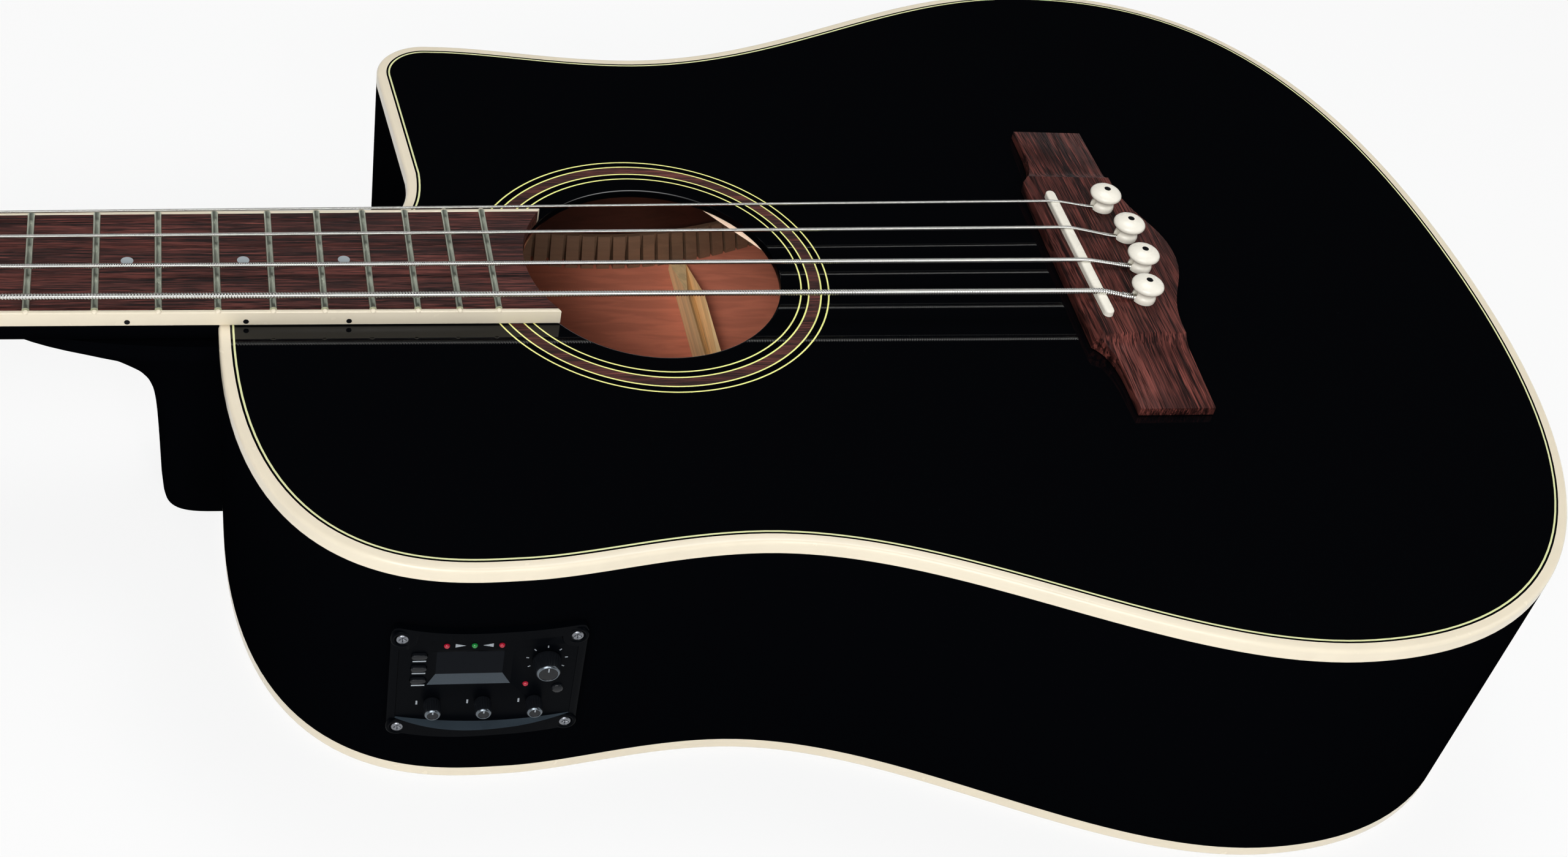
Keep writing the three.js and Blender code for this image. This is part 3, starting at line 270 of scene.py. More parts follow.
for sign, operation in (
        ("add", "ADD"), ("sub", "SUBTRACT"), ("mul", "MULTIPLY"), ("truediv", "DIVIDE"),
        ("pow", "POWER"), ("mod", "MODULO")):
    setattr(Value, f"__{sign}__", operator_of(operation))
    setattr(Value, f"__r{sign}__", operator_of(operation, swapped=True))
Value.__lt__ = operator_of("LESS_THAN")


class Graph:
    """A node tree of any kind, built one node at a time."""

    def __init__(self, tree):
        self.tree = tree

    def node(self, kind, settings=None, inputs=(), output=0):
        made = self.tree.nodes.new(kind)
        for key, value in (settings or {}).items():
            if key == "stops":
                self.set_stops(made.color_ramp.elements, value)
            else:
                setattr(made, key, value)
        pairs = inputs.items() if isinstance(inputs, dict) else enumerate(inputs)
        for key, value in pairs:
            if isinstance(value, Value):
                self.tree.links.new(value.socket, made.inputs[key])
            else:
                made.inputs[key].default_value = value
        return Value(self, made.outputs[output])

    @staticmethod
    def set_stops(elements, stops):
        while len(elements) < len(stops):
            elements.new(1)
        for element, (place, level) in zip(elements, stops):
            element.position = place
            element.color = (level, level, level, 1)


class Shape(Graph):
    """A Geometry Nodes tree with named inputs."""

    def __init__(self, name):
        super().__init__(bpy.data.node_groups.new(name, "GeometryNodeTree"))
        self.sockets = {}
        self.add("Geometry", "NodeSocketGeometry")
        self.tree.interface.new_socket(
            "Geometry", in_out="OUTPUT", socket_type="NodeSocketGeometry")
        self.entry = self.tree.nodes.new("NodeGroupInput")
        self.exit = self.tree.nodes.new("NodeGroupOutput")

    def add(self, name, kind):
        self.sockets[name] = self.tree.interface.new_socket(name, in_out="INPUT", socket_type=kind)

    def inputs(self, **kinds):
        for name, kind in kinds.items():
            self.add(name, "NodeSocket" + kind)
        return [Value(self, self.entry.outputs[name]) for name in kinds]

    @property
    def geometry(self):
        return Value(self, self.entry.outputs["Geometry"])

    def vector(self, **parts):
        return self.node("ShaderNodeCombineXYZ", {}, parts)

    def even_line(self, length):
        """The incoming line as a curve with points that far apart."""
        line = self.node("GeometryNodeMeshToCurve", {}, (self.geometry,))
        return self.node(
            "GeometryNodeResampleCurve", {"mode": "LENGTH"}, {"Curve": line, "Length": length})

    def shape_of(self, obj):
        return self.node("GeometryNodeObjectInfo", {}, {"Object": obj}, "Geometry")

    def strewn(self, points, piece, **settings):
        return self.node(
            "GeometryNodeInstanceOnPoints", {}, {"Points": points, "Instance": piece, **settings})

    def close(self, geometry, material):
        real = self.node("GeometryNodeRealizeInstances", {}, (geometry,))
        painted = self.node("GeometryNodeSetMaterial", {}, {"Geometry": real, "Material": material})
        self.tree.links.new(painted.socket, self.exit.inputs["Geometry"])

    def run(self, obj, **values):
        modifier = obj.modifiers.new(self.tree.name, "NODES")
        modifier.node_group = self.tree
        for name, value in values.items():
            modifier[self.sockets[name].identifier] = value
        return settle(obj)


class Finish(Graph):
    """A material on one Principled shader."""

    def __init__(self, name, colour, roughness, **fixed):
        self.material = bpy.data.materials.new(name)
        self.material.use_nodes = True
        super().__init__(self.material.node_tree)
        self.shader = self.tree.nodes["Principled BSDF"]
        self.material.diffuse_color = (*colour, 1)
        self.set("Base Color", (*colour, 1))
        self.set("Roughness", roughness)
        for name, value in fixed.items():
            self.set(name.replace("_", " ").title().replace("Ior", "IOR"), value)

    def set(self, name, value):
        if isinstance(value, Value):
            self.tree.links.new(value.socket, self.shader.inputs[name])
        else:
            self.shader.inputs[name].default_value = value

    def noise(self, scale, detail, distortion=0, stretch=(1, 1, 1)):
        """A noise in the object's own metres, drawn out where its stretch is below one."""
        place = self.node("ShaderNodeTexCoord", {}, (), "Object")
        place = self.node("ShaderNodeMapping", {}, {"Vector": place, "Scale": stretch})
        return self.node("ShaderNodeTexNoise", {}, {
            "Vector": place, "Scale": scale, "Detail": detail, "Distortion": distortion})

    def ramp(self, value, *stops):
        return self.node("ShaderNodeValToRGB", {"stops": stops}, (value,))

    def blend(self, factor, first, second):
        colours = [c if isinstance(c, Value) else (*c, 1) for c in (first, second)]
        return self.node(
            "ShaderNodeMix", {"data_type": "RGBA"}, {0: factor, 6: colours[0], 7: colours[1]}, 2)

    def bump(self, height, strength, distance):
        self.set("Normal", self.node("ShaderNodeBump", {}, {
            "Strength": strength, "Distance": distance, "Height": height}))


def shaded(colour, share):
    return tuple(c * share for c in colour)


def drawn_out(along, short, depth=1):
    """A mapping's scale that draws a texture out along X or Y."""
    return (short, 1, depth) if along == "X" else (1, short, depth)


def lacquer(colours, name="Black lacquer", specular=0.36):
    """Deep black gloss with a faint haze and specks of dust."""
    made = Finish(name, colours.lacquer, 0.05, specular_ior_level=specular)
    haze = made.noise(9, 4)
    made.set("Roughness", 0.012 + 0.022 * haze)
    dust = made.noise(900, 2)
    specks = made.ramp(dust, (0.76, 0), (0.8, 1))
    made.set("Base Color", made.blend(specks * 0.25, colours.lacquer, (0.02, 0.021, 0.024)))
    return made.material


def glossy_plastic(name, colour, roughness, mottle=0.05):
    made = Finish(name, colour, roughness, specular_ior_level=0.45)
    cloud = made.noise(60, 4)
    made.set("Base Color", made.blend(cloud, shaded(colour, 1 - 2 * mottle), colour))
    made.set("Roughness", roughness - 0.05 + 0.12 * made.noise(180, 3))
    made.bump(made.noise(420, 2), 0.04, 0.0002)
    return made.material


def open_pored(name, light, dark, along, roughness=0.5, fine=1.0, specular=0.22):
    """A dark timber with streaks and short open pores that run along X or Y."""
    made = Finish(name, light, roughness, specular_ior_level=specular)
    streak, pore_form = drawn_out(along, 0.03, 0.2), drawn_out(along, 0.03, 0.3)
    wide = made.noise(170 * fine, 5, 0.9, streak)
    narrow = made.noise(1300 * fine, 6, 0.15, streak)
    figure = made.ramp(0.45 * wide + 0.55 * narrow, (0.4, 0), (0.5, 0.35), (0.62, 1))
    patch = made.ramp(made.noise(34, 3, 0, (0.5, 1, 1)), (0.36, 0.5), (0.6, 1))
    pores = made.ramp(made.noise(2600 * fine, 2, 0, pore_form), (0.53, 0), (0.6, 1))
    fleck = made.ramp(made.noise(1900 * fine, 2, 0, pore_form), (0.58, 0), (0.68, 1))
    timber = made.blend(figure * patch, dark, light)
    timber = made.blend(fleck * 0.45, timber, shaded(light, 1.9))
    made.set("Base Color", made.blend(pores * 0.8, timber, shaded(dark, 0.4)))
    made.set("Roughness", roughness - 0.08 + 0.16 * narrow + 0.15 * pores)
    made.bump(0.5 * narrow - 0.9 * pores, 0.5, 0.0003)
    return made.material


def close_grained(name, colour, along, ring_scale, contrast, short=0.03):
    """A pale or reddish timber with soft growth lines along X or Y."""
    made = Finish(name, colour, 0.62, specular_ior_level=0.3)
    lines = made.noise(ring_scale, 4, 0.6, drawn_out(along, short))
    figure = made.ramp(lines, (0.4, 0), (0.6, 1))
    fibres = made.noise(1400, 3, 0, drawn_out(along, 0.06))
    cloud = made.noise(25, 3)
    tone = made.blend(figure, shaded(colour, 1 - contrast), colour)
    tone = made.blend(0.35 * cloud, tone, shaded(colour, 1 - contrast))
    made.set("Base Color", made.blend(0.3 * fibres, tone, shaded(colour, 0.6)))
    made.set("Roughness", 0.55 + 0.15 * fibres)
    made.bump(fibres, 0.3, 0.0002)
    return made.material


def metal(name, colour, roughness, smudge=0.06, grain=None):
    made = Finish(name, colour, roughness, metallic=1.0)
    made.set("Roughness", roughness - smudge / 2 + smudge * made.noise(70, 4))
    if grain:
        made.bump(made.noise(900, 2, 0, grain), 0.12, 0.0001)
    return made.material


def satin_plastic(name, colour, roughness, specular=0.08):
    made = Finish(name, colour, roughness, specular_ior_level=specular)
    texture = made.noise(2600, 2)
    made.set("Roughness", roughness - 0.06 + 0.12 * made.noise(120, 3))
    made.set("Base Color", made.blend(texture, shaded(colour, 0.85), shaded(colour, 1.2)))
    made.bump(texture, 0.16, 0.0001)
    return made.material


def lamp_lens(name, colour, glow):
    made = Finish(name, colour, 0.12, emission_strength=glow)
    made.set("Emission Color", (*colour, 1))
    core = made.noise(1500, 1)
    made.set("Base Color", made.blend(core, shaded(colour, 0.7), colour))
    return made.material


FINISHES = {}


def prepare_finishes(colours):
    c = SimpleNamespace(**{key: tuple(getattr(colours, key)) for key in Colours.__annotations__})
    FINISHES.update(
        lacquer=lacquer(c),
        side_lacquer=lacquer(c, "Black lacquer of the sides", 0.0),
        binding=glossy_plastic("Cream binding", c.binding, 0.24),
        pale=glossy_plastic("Pale line", c.pale, 0.2, 0.02),
        ring=glossy_plastic("Rosette line", c.ring, 0.2, 0.03),
        ivory=glossy_plastic("Ivory", c.ivory, 0.26, 0.03),
        rosewood_x=open_pored("Board rosewood", c.rosewood_light, c.rosewood_dark, "X"),
        rosewood_y=open_pored(
            "Bridge rosewood", c.rosewood_light, shaded(c.rosewood_dark, 0.8), "Y", roughness=0.46,
            fine=0.8, specular=0.1),
        mahogany=close_grained("Mahogany", c.mahogany, "X", 240, 0.25, 0.16),
        # The inside of the sides is the mahogany darkened to about a tenth: painted shade on the
        # walls inside the body
        side_wood=close_grained("Side wood", shaded(c.mahogany, 0.11), "X", 240, 0.3, 0.16),
        spruce_y=close_grained("Spruce", c.spruce, "Y", 420, 0.25),
        # The crossed braces' spruce is lighter than the back braces' to paint the light on them
        pale_spruce=close_grained("Pale spruce", c.pale_spruce, "Y", 300, 0.12),
        lining=close_grained("Lining", c.lining, "X", 300, 0.2),
        fret=metal("Fret metal", (0.6, 0.65, 0.54), 0.38, grain=(1, 0.05, 1)),
        wire=metal("String wire", (0.66, 0.66, 0.63), 0.2),
        chrome=metal("Chrome", (0.8, 0.81, 0.82), 0.07),
        steel=metal("Steel", (0.5, 0.51, 0.53), 0.35, 0.1),
        satin=satin_plastic("Satin black plastic", (0.0008, 0.0012, 0.002), 0.34, 0.02),
        # A paler, glossier copy of the satin plastic: a painted highlight on the window's lower
        # bevel and the pocket's foot
        lit_edge=satin_plastic("Rubbed satin edge", (0.03, 0.042, 0.054), 0.34, 0.3),
        knob=satin_plastic("Knob black", (0.006, 0.007, 0.009), 0.28, 0.2),
        rim=metal("Knob rim", (0.13, 0.15, 0.17), 0.3),
        dark_steel=metal("Dark steel", (0.2, 0.21, 0.23), 0.3),
        window=Finish("Window", (0.002, 0.003, 0.005), 0.05, specular_ior_level=0.04).material,
        print=satin_plastic("Pale print", (0.3, 0.33, 0.36), 0.5),
        dot=satin_plastic("Black dot", (0.004, 0.004, 0.005), 0.3),
        pearl=glossy_plastic("Pearl dot", (0.42, 0.47, 0.5), 0.2, 0.15),
        red_lamp=lamp_lens("Red lamp", (0.4, 0.01, 0.03), 0.12),
        green_lamp=lamp_lens("Green lamp", (0.01, 0.22, 0.04), 0.12),
    )


# Mesh making
def settle(obj):
    """Makes what an object's modifiers show its plain mesh."""
    graph = bpy.context.evaluated_depsgraph_get()
    made = bpy.data.meshes.new_from_object(obj.evaluated_get(graph), depsgraph=graph)
    obj.modifiers.clear()
    obj.data = made
    return obj


def link(name, mesh):
    obj = bpy.data.objects.new(name, mesh)
    bpy.context.scene.collection.objects.link(obj)
    return obj


def shade(obj, angle=38):
    obj.data.polygons.foreach_set("use_smooth", [True] * len(obj.data.polygons))
    obj.data.set_sharp_from_angle(angle=math.radians(angle))
    return obj


def build(name, parts, finishes, where=INSTRUMENT):
    """One object from closed parts, each its points, faces and the finish of each face."""
    points, faces, zones = [], [], []
    for part_points, part_faces, part_zones in parts:
        start = len(points)
        points += [where @ Vector(p) for p in part_points]
        faces += [[start + i for i in face] for face in part_faces]
        zones += part_zones
    mesh = bpy.data.meshes.new(name)
    mesh.from_pydata(points, [], faces)
    for finish in finishes:
        mesh.materials.append(FINISHES[finish])
    mesh.polygons.foreach_set("material_index", zones)
    work = bmesh.new()
    work.from_mesh(mesh)
    bmesh.ops.remove_doubles(work, verts=work.verts, dist=2e-6)
    bmesh.ops.dissolve_degenerate(work, edges=work.edges, dist=1e-7)
    bmesh.ops.recalc_face_normals(work, faces=work.faces)
    work.to_mesh(mesh)
    work.free()
    return shade(link(name, mesh))


def loft(sections, endless=False, strips=None, ends=0):
    """A closed skin over a row of sections, each a ring of as many points."""
    rows, count = len(sections), len(sections[0])
    strips = strips or [0] * count
    faces, zones = [], []
    for i in range(rows if endless else rows - 1):
        low, high = i * count, (i + 1) % rows * count
        for j in range(count):
            k = (j + 1) % count
            faces.append((low + j, high + j, high + k, low + k))
            zones.append(strips[j])
    if not endless:
        faces += [tuple(range(count)), tuple(range((rows - 1) * count, rows * count))]
        zones += [ends, ends]
    return [point for section in sections for point in section], faces, zones


def angles(steps, sweep=math.pi):
    return [sweep * i / steps for i in range(steps + 1)]


def evenly(first, last, steps):
    """Numbers from the first to the last in as many equal steps."""
    return [mix(first, last, i / steps) for i in range(steps + 1)]


def turned(profile, sides=40, strips=None, squash=1):
    """A turned shape about Z from pairs of radius and height."""
    sections = [
        [(r * math.cos(a), r * math.sin(a) * squash, z) for r, z in profile]
        for a in angles(sides, 2 * math.pi)[:-1]]
    return loft(sections, True, strips)


def prism(outline, low, high, zone=0):
    """A flat outline between two heights, each a number or a function of the place."""
    low, high = (h if callable(h) else (lambda x, y, h=h: h) for h in (low, high))
    rings = [[(x, y, h(x, y)) for x, y in outline] for h in (low, high)]
    return loft(rings, strips=[zone] * len(outline), ends=zone)


def chain(points):
    mesh = bpy.data.meshes.new("chain")
    mesh.from_pydata(points, [(i, i + 1) for i in range(len(points) - 1)], [])
    return mesh


def moved(part, matrix):
    points, faces, zones = part
    return [tuple(matrix @ Vector(p)) for p in points], faces, zones


def shifted(part, x=0, y=0, z=0):
    return moved(part, Matrix.Translation((x, y, z)))


def oblong(x1, x2, y1, y2):
    """The corners of a rectangle between two places along X and two along Y."""
    return [(x1, y1), (x2, y1), (x2, y2), (x1, y2)]


def block(x1, x2, y1, y2, z1, z2, zone=0):
    return prism(oblong(x1, x2, y1, y2), z1, z2, zone)


def mix(first, second, share):
    return first + (second - first) * share


def bezier(points, steps):
    """A Bezier curve through as many control points as given, without its first point."""
    made = []
    for i in range(1, steps + 1):
        left = [Vector(p) for p in points]
        while len(left) > 1:
            left = [a.lerp(b, i / steps) for a, b in zip(left, left[1:])]
        made.append(tuple(left[0]))
    return made


def path(*pieces):
    """A line of points and curves, each curve a number of steps and then its control points."""
    made = []
    for piece in pieces:
        if isinstance(piece[1], tuple):
            made += bezier([made[-1], *piece[1:]], piece[0])
        else:
            made.append(piece)
    return made


def through(points, steps):
    """A smooth line through given points."""
    rows = [Vector(p) for p in (points[0], *points, points[-1])]
    made = [rows[1]]
    for before, start, end, after in zip(rows, rows[1:], rows[2:], rows[3:]):
        for i in range(1, steps + 1):
            t = i / steps
            made.append(0.5 * (
                2 * start + (end - before) * t + (2 * before - 5 * start + 4 * end - after) * t * t
                + (3 * start - before - 3 * end + after) * t ** 3))
    return [tuple(point) for point in made]


def carve(obj, cutter, operation="DIFFERENCE"):
    modifier = obj.modifiers.new("Carve", "BOOLEAN")
    modifier.operation = operation
    modifier.solver = "EXACT"
    modifier.object = cutter
    settle(obj)
    bpy.data.objects.remove(cutter)


def soften(obj, width, segments=3, angle=32):
    modifier = obj.modifiers.new("Soften", "BEVEL")
    modifier.width = width * MM
    modifier.segments = segments
    modifier.limit_method = "ANGLE"
    modifier.angle_limit = math.radians(angle)
    return shade(settle(obj))


def copy_of(node, finish):
    """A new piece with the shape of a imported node."""
    obj = link(node + "_dressed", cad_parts[node].data.copy())
    work = bmesh.new()
    work.from_mesh(obj.data)
    bmesh.ops.remove_doubles(work, verts=work.verts, dist=2e-6)
    bmesh.ops.dissolve_limit(
        work, angle_limit=math.radians(1), verts=work.verts, edges=work.edges)
    work.to_mesh(obj.data)
    work.free()
    obj.data.materials.clear()
    obj.data.materials.append(FINISHES[finish])
    return obj


def done(obj, nodes=(), body=ROOT):
    """Seats a finished piece on its body."""
    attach(obj, body)
    if nodes:
        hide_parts(*nodes)


def soft_copy(node, finish, width, segments):
    """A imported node's own shape with softened edges."""
    done(soften(copy_of(node, finish), width, segments), [node])


def paint(finish, *nodes):
    for node in nodes:
        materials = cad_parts[node].data.materials
        materials.clear()
        materials.append(FINISHES[finish])


# The body's outline
def level_curve(start, end, shares, steps):
    """A curve that leaves and meets its two ends level."""
    reach = end[0] - start[0]
    return (
        steps, (start[0] + reach * shares[0], start[1]), (end[0] - reach * shares[1], end[1]), end)


def bass_half(fineness):
    shoulder = (BODY_X, -SHOULDER_HALF)
    upper, waist, lower = ((x, -half) for x, half in (UPPER, WAIST, LOWER))
    rise = (upper[1] - shoulder[1]) * SHOULDER_SHARES[0]
    run = (upper[0] - shoulder[0]) * SHOULDER_SHARES[1]
    return path(
        (BODY_X, -SEAM / 2),
        shoulder,
        (10 * fineness, (BODY_X, shoulder[1] + rise), (upper[0] - run, upper[1]), upper),
        level_curve(upper, waist, UPPER_SHARES, 5 * fineness),
        level_curve(waist, lower, WAIST_SHARES, 10 * fineness),
        (10 * fineness, (mix(lower[0], TAIL_X, TAIL_SHARES[0]), lower[1]),
         (TAIL_X, lower[1] * TAIL_SHARES[1]), (TAIL_X, -SEAM / 2)))


def treble_half(fineness):
    body = [(x, -y) for x, y in reversed(bass_half(fineness)) if x > UPPER[0]]
    horn = [
        (HORN_CENTRE[0] - HORN_RADIUS * math.sin(a), HORN_CENTRE[1] + HORN_RADIUS * math.cos(a))
        for a in angles(6 * fineness, math.pi / 2)[:-1]]
    top, foot, neck = CUTAWAY
    return path(
        *body, *horn, top, foot,
        (5 * fineness, (foot[0], mix(foot[1], neck[1], CUTAWAY_SHARES[0])),
         (mix(neck[0], foot[0], CUTAWAY_SHARES[1]), neck[1]), neck),
        (BODY_X, neck[1]), (BODY_X, SEAM / 2))


def close_set(points, spacing=6):
    """The same line with no two points further apart than the spacing."""
    made = [points[0]]
    for start, end in zip(points, points[1:]):
        count = max(1, math.ceil(math.dist(start, end) / spacing))
        made += [tuple(Vector(start).lerp(Vector(end), (i + 1) / count)) for i in range(count)]
    return made


def inset(points, distance, endless=False):
    count = len(points)
    made = []
    for i, point in enumerate(points):
        ways = []
        if endless or i > 0:
            ways.append(Vector(point) - Vector(points[i - 1]))
        if endless or i < count - 1:
            ways.append(Vector(points[(i + 1) % count]) - Vector(point))
        sides = [Vector((-way.y, way.x)).normalized() for way in ways]
        first, second = sides[0], sides[-1]
        made.append(tuple(Vector(point) + (first + second) * (distance / (1 + first.dot(second)))))
    return made


def back_height(x):
    return -(DEPTH_AT_SADDLE + SLOPE * x)


def rim(points, corners, endless=False, strips=None):
    """A strip round the body, from the inset and the height of each corner of its section."""
    lines = [inset(points, distance, endless) for distance, _ in corners]
    sections = []
    for i in range(len(points)):
        section = []
        for line, (_, height) in zip(lines, corners):
            x, y = line[i]
            section.append((x, y, height(x) if callable(height) else height))
        sections.append(section)
    return loft(sections, endless, strips)


BASS = close_set(bass_half(4))
TREBLE = close_set(treble_half(4))
OUTLINE = BASS + TREBLE


def on_wall(points, x):
    end = next(i for i, point in enumerate(points) if point[0] > x)
    start, stop = Vector(points[end - 1]), Vector(points[end])
    return start.lerp(stop, (x - start.x) / (stop.x - start.x))


def panel_frame():
    ends = [on_wall(bass_half(1), x) for x in PANEL_X]
    along = (ends[1] - ends[0]).normalized()
    out = Vector((along.y, -along.x))
    middle = (ends[0] + ends[1]) / 2 + out * FLOOR_RISE
    return Matrix((
        (along.x, 0, out.x, middle.x),
        (along.y, 0, out.y, middle.y),
        (0, 1, 0, 0),
        (0, 0, 0, 1),
    ))


PANEL_LOCAL = panel_frame()
PANEL = INSTRUMENT @ PANEL_LOCAL
WALL_LINE = [tuple(PANEL_LOCAL.inverted() @ Vector((x, y, 0))) for x, y in BASS]


def wall_rise(x):
    """How far the side stands out from the preamp's floor at a place along the panel."""
    for start, end in zip(WALL_LINE, WALL_LINE[1:]):
        if start[0] <= x < end[0] and start[0] < 60 and abs(start[2]) < 40:
            return mix(start[2], end[2], (x - start[0]) / (end[0] - start[0]))
    return -FLOOR_RISE


def above_back(height):
    return lambda x: back_height(x) + height


class TopMaker(bpy.types.Operator):
    """Makes the soundboard with its purfling lines and hole, and the rosette in its channel"""

    bl_idname = "bass_guitar.top"
    bl_label = "Top and rosette"

    def execute(self, context):
        size = millimetres(context.scene.bass_body)
        black = size.binding_width + size.black_line
        pale = black + size.pale_line
        hole = (
            (HOLE_RADIUS, -SHEET), (HOLE_RADIUS, -0.5), (HOLE_RADIUS + 0.15, -0.15),
            (HOLE_RADIUS + 0.5, 0), (HOLE_RADIUS + 0.7, 0), (ROSETTE[0], 0),
            (ROSETTE[0], CHANNEL_FLOOR), (ROSETTE[1], CHANNEL_FLOOR), (ROSETTE[1], 0))
        sections = []
        lines = [inset(OUTLINE, reach, True) for reach in (size.binding_width, black, pale)]
        for outer, middle, inner in zip(*lines):
            ray = (Vector((*inner, 0)) - SOUNDHOLE).normalized()
            ring = [tuple(SOUNDHOLE + ray * radius + Vector((0, 0, z))) for radius, z in hole]
            sections.append(ring + [(*inner, 0), (*middle, 0), (*outer, 0), (*outer, -SHEET)])
        strips = [0] * 9 + [1, 0, 0, 2]
        top = build("top", [loft(sections, True, strips)], ["lacquer", "pale", "spruce_y"])
        done(top, ["soundboard"])
        self.rosette(size)
        return {"FINISHED"}

    def rosette(self, size):
        half = size.ring_line / 2
        edges = [radius + way for radius in RING_RADII for way in (-half, half)]
        inner, outer = ROSETTE
        profile = [
            (inner, CHANNEL_FLOOR), *((radius, 0) for radius in (inner, *edges, outer)),
            (outer, CHANNEL_FLOOR)]
        strips = [0, 0, 1, 0, 1, 2, 1, 0, 1, 0, 0, 0]
        ring = shifted(turned(profile, 160, strips), *SOUNDHOLE)
        rings = build("rosette_rings", [ring], ["lacquer", "ring", "rosewood_x"])
        done(rings, ["rosette"])


class BindingMaker(bpy.types.Operator):
    """Makes the cream bindings round the top and the back"""

    bl_idname = "bass_guitar.bindings"
    bl_label = "Bindings"

    def execute(self, context):
        size = millimetres(context.scene.bass_body)
        r = size.binding_round
        high = size.binding_height
        arc = [
            (r * (1 - math.cos(a)), r * (1 - math.sin(a))) for a in angles(5, math.pi / 2)]
        top = [
            (0, -high), *((d, -drop) for d, drop in arc), (size.binding_width, 0),
            (size.binding_width, -high)]
        back = [
            (0, above_back(high)), *((d, above_back(drop)) for d, drop in arc),
            (size.back_binding_width, back_height), (size.back_binding_width, above_back(high))]
        for name, corners in (("top_binding", top), ("back_binding", back)):
            made = build(name + "_strip", [rim(OUTLINE, corners, True)], ["binding"])
            done(made, [name])
        return {"FINISHED"}


class SideMaker(bpy.types.Operator):
    """Makes the two sides and the back plate, black outside and bare wood inside"""

    bl_idname = "bass_guitar.sides"
    bl_label = "Sides and back"

    def execute(self, context):
        size = millimetres(context.scene.bass_body)
        foot, top = above_back(size.binding_height), -size.binding_height
        corners = [(0, foot), (0, top), (SIDE_WALL, top), (SIDE_WALL, foot)]
        for name, points in (("bass_side", BASS), ("treble_side", TREBLE)):
            part = rim(points, corners, strips=[0, 0, 1, 0])
            # Each side's inner face takes the darkened mahogany, which paints the shade inside the
            # body
            side = build(name + "_wall", [part], ["side_lacquer", "side_wood"])
            if name == "bass_side":
                half, margin, reach = 27, 4, 40
                low, high = PANEL_Z
                hole = block(-half, half, low + margin, high - margin, -reach, reach)
                carve(side, build("hole", [hole], ["side_lacquer"], PANEL))
            done(shade(side), [name])
        edge = inset(OUTLINE, size.back_binding_width, True)
        plate = prism(edge, lambda x, y: back_height(x), lambda x, y: back_height(x) + SHEET)
        plate[2][-1] = 1
        done(build("back", [plate], ["side_lacquer", "mahogany"]), ["back_plate"])
        return {"FINISHED"}


class InsideMaker(bpy.types.Operator):
    """Makes the kerfed linings, and gives the blocks and braces their timber"""

    bl_idname = "bass_guitar.inside"
    bl_label = "Linings and braces"

    def execute(self, context):
        size = millimetres(context.scene.bass_body)
        tree = self.kerf_tree()
        for name, points in (("bass", BASS), ("treble", TREBLE)):
            line = [
                (x, y) for x, y in inset(points, SIDE_WALL + SEAM)
                if abs(y) > (NECK_BLOCK_HALF if x < 0 else TAIL_BLOCK_HALF)]
            low = SHEET + SEAM
            for place, way, height in (("top", -1, lambda x: -low), ("back", 1, above_back(low))):
                rail = [(x, y, height(x)) for x, y in line]
                self.lining(tree, f"{place}_lining_{name}", rail, way, size)
        paint("mahogany", "neck_block", "tail_block")
        paint("spruce_y", *BACK_BRACES)
        # The crossed braces take the lightened spruce, painted light
        paint("pale_spruce", *CROSSED_BRACES)
        paint("rosewood_y", "bridge_plate")
        paint("steel", "saddle_pickup", "truss_rod")
        paint("satin", "preamp_case")
        return {"FINISHED"}

    def kerf_tree(self):
        tree = Shape("Kerfed lining")
        pitch, block_object, finish = tree.inputs(Pitch="Float", Block="Object", Finish="Material")
        even = tree.even_line(pitch)
        turn = tree.node(
            "FunctionNodeAlignRotationToVector", {"axis": "X", "pivot_axis": "Z"},
            {"Vector": tree.node("GeometryNodeInputTangent")})
        tree.close(tree.strewn(even, tree.shape_of(block_object), Rotation=turn), finish)
        return tree

    def lining(self, tree, name, rail, way, size):
        half = (size.kerf_pitch - size.kerf_gap) / 2
        wide, high = LINING_SECTION
        section = [
            (0, 0), (wide, 0), (wide - 0.2, 2.4), (2.4, high - 0.4), (2.0, high), (0, high)]
        solid = loft([[(x, y, way * z) for y, z in section] for x in (-half, half)])
        block_object = build("kerf", [solid], ["lining"], UNPLACED)
        host = link(name + "_kerfs", chain(rail))
        tree.run(host, Pitch=size.kerf_pitch, Block=block_object, Finish=FINISHES["lining"])
        bpy.data.objects.remove(block_object)
        host.data.transform(INSTRUMENT)
        inner = inset([(x, y) for x, y, _ in rail], LINING_WEB)
        sections = []
        for (x, y, z), (u, v) in zip(rail, inner):
            end = z + way * high
            sections.append([(x, y, z), (x, y, end), (u, v, end), (u, v, z)])
        strip = build(name + "_strip", [loft(sections)], ["lining"])
        done(shade(host, 20), [name])
        done(strip)


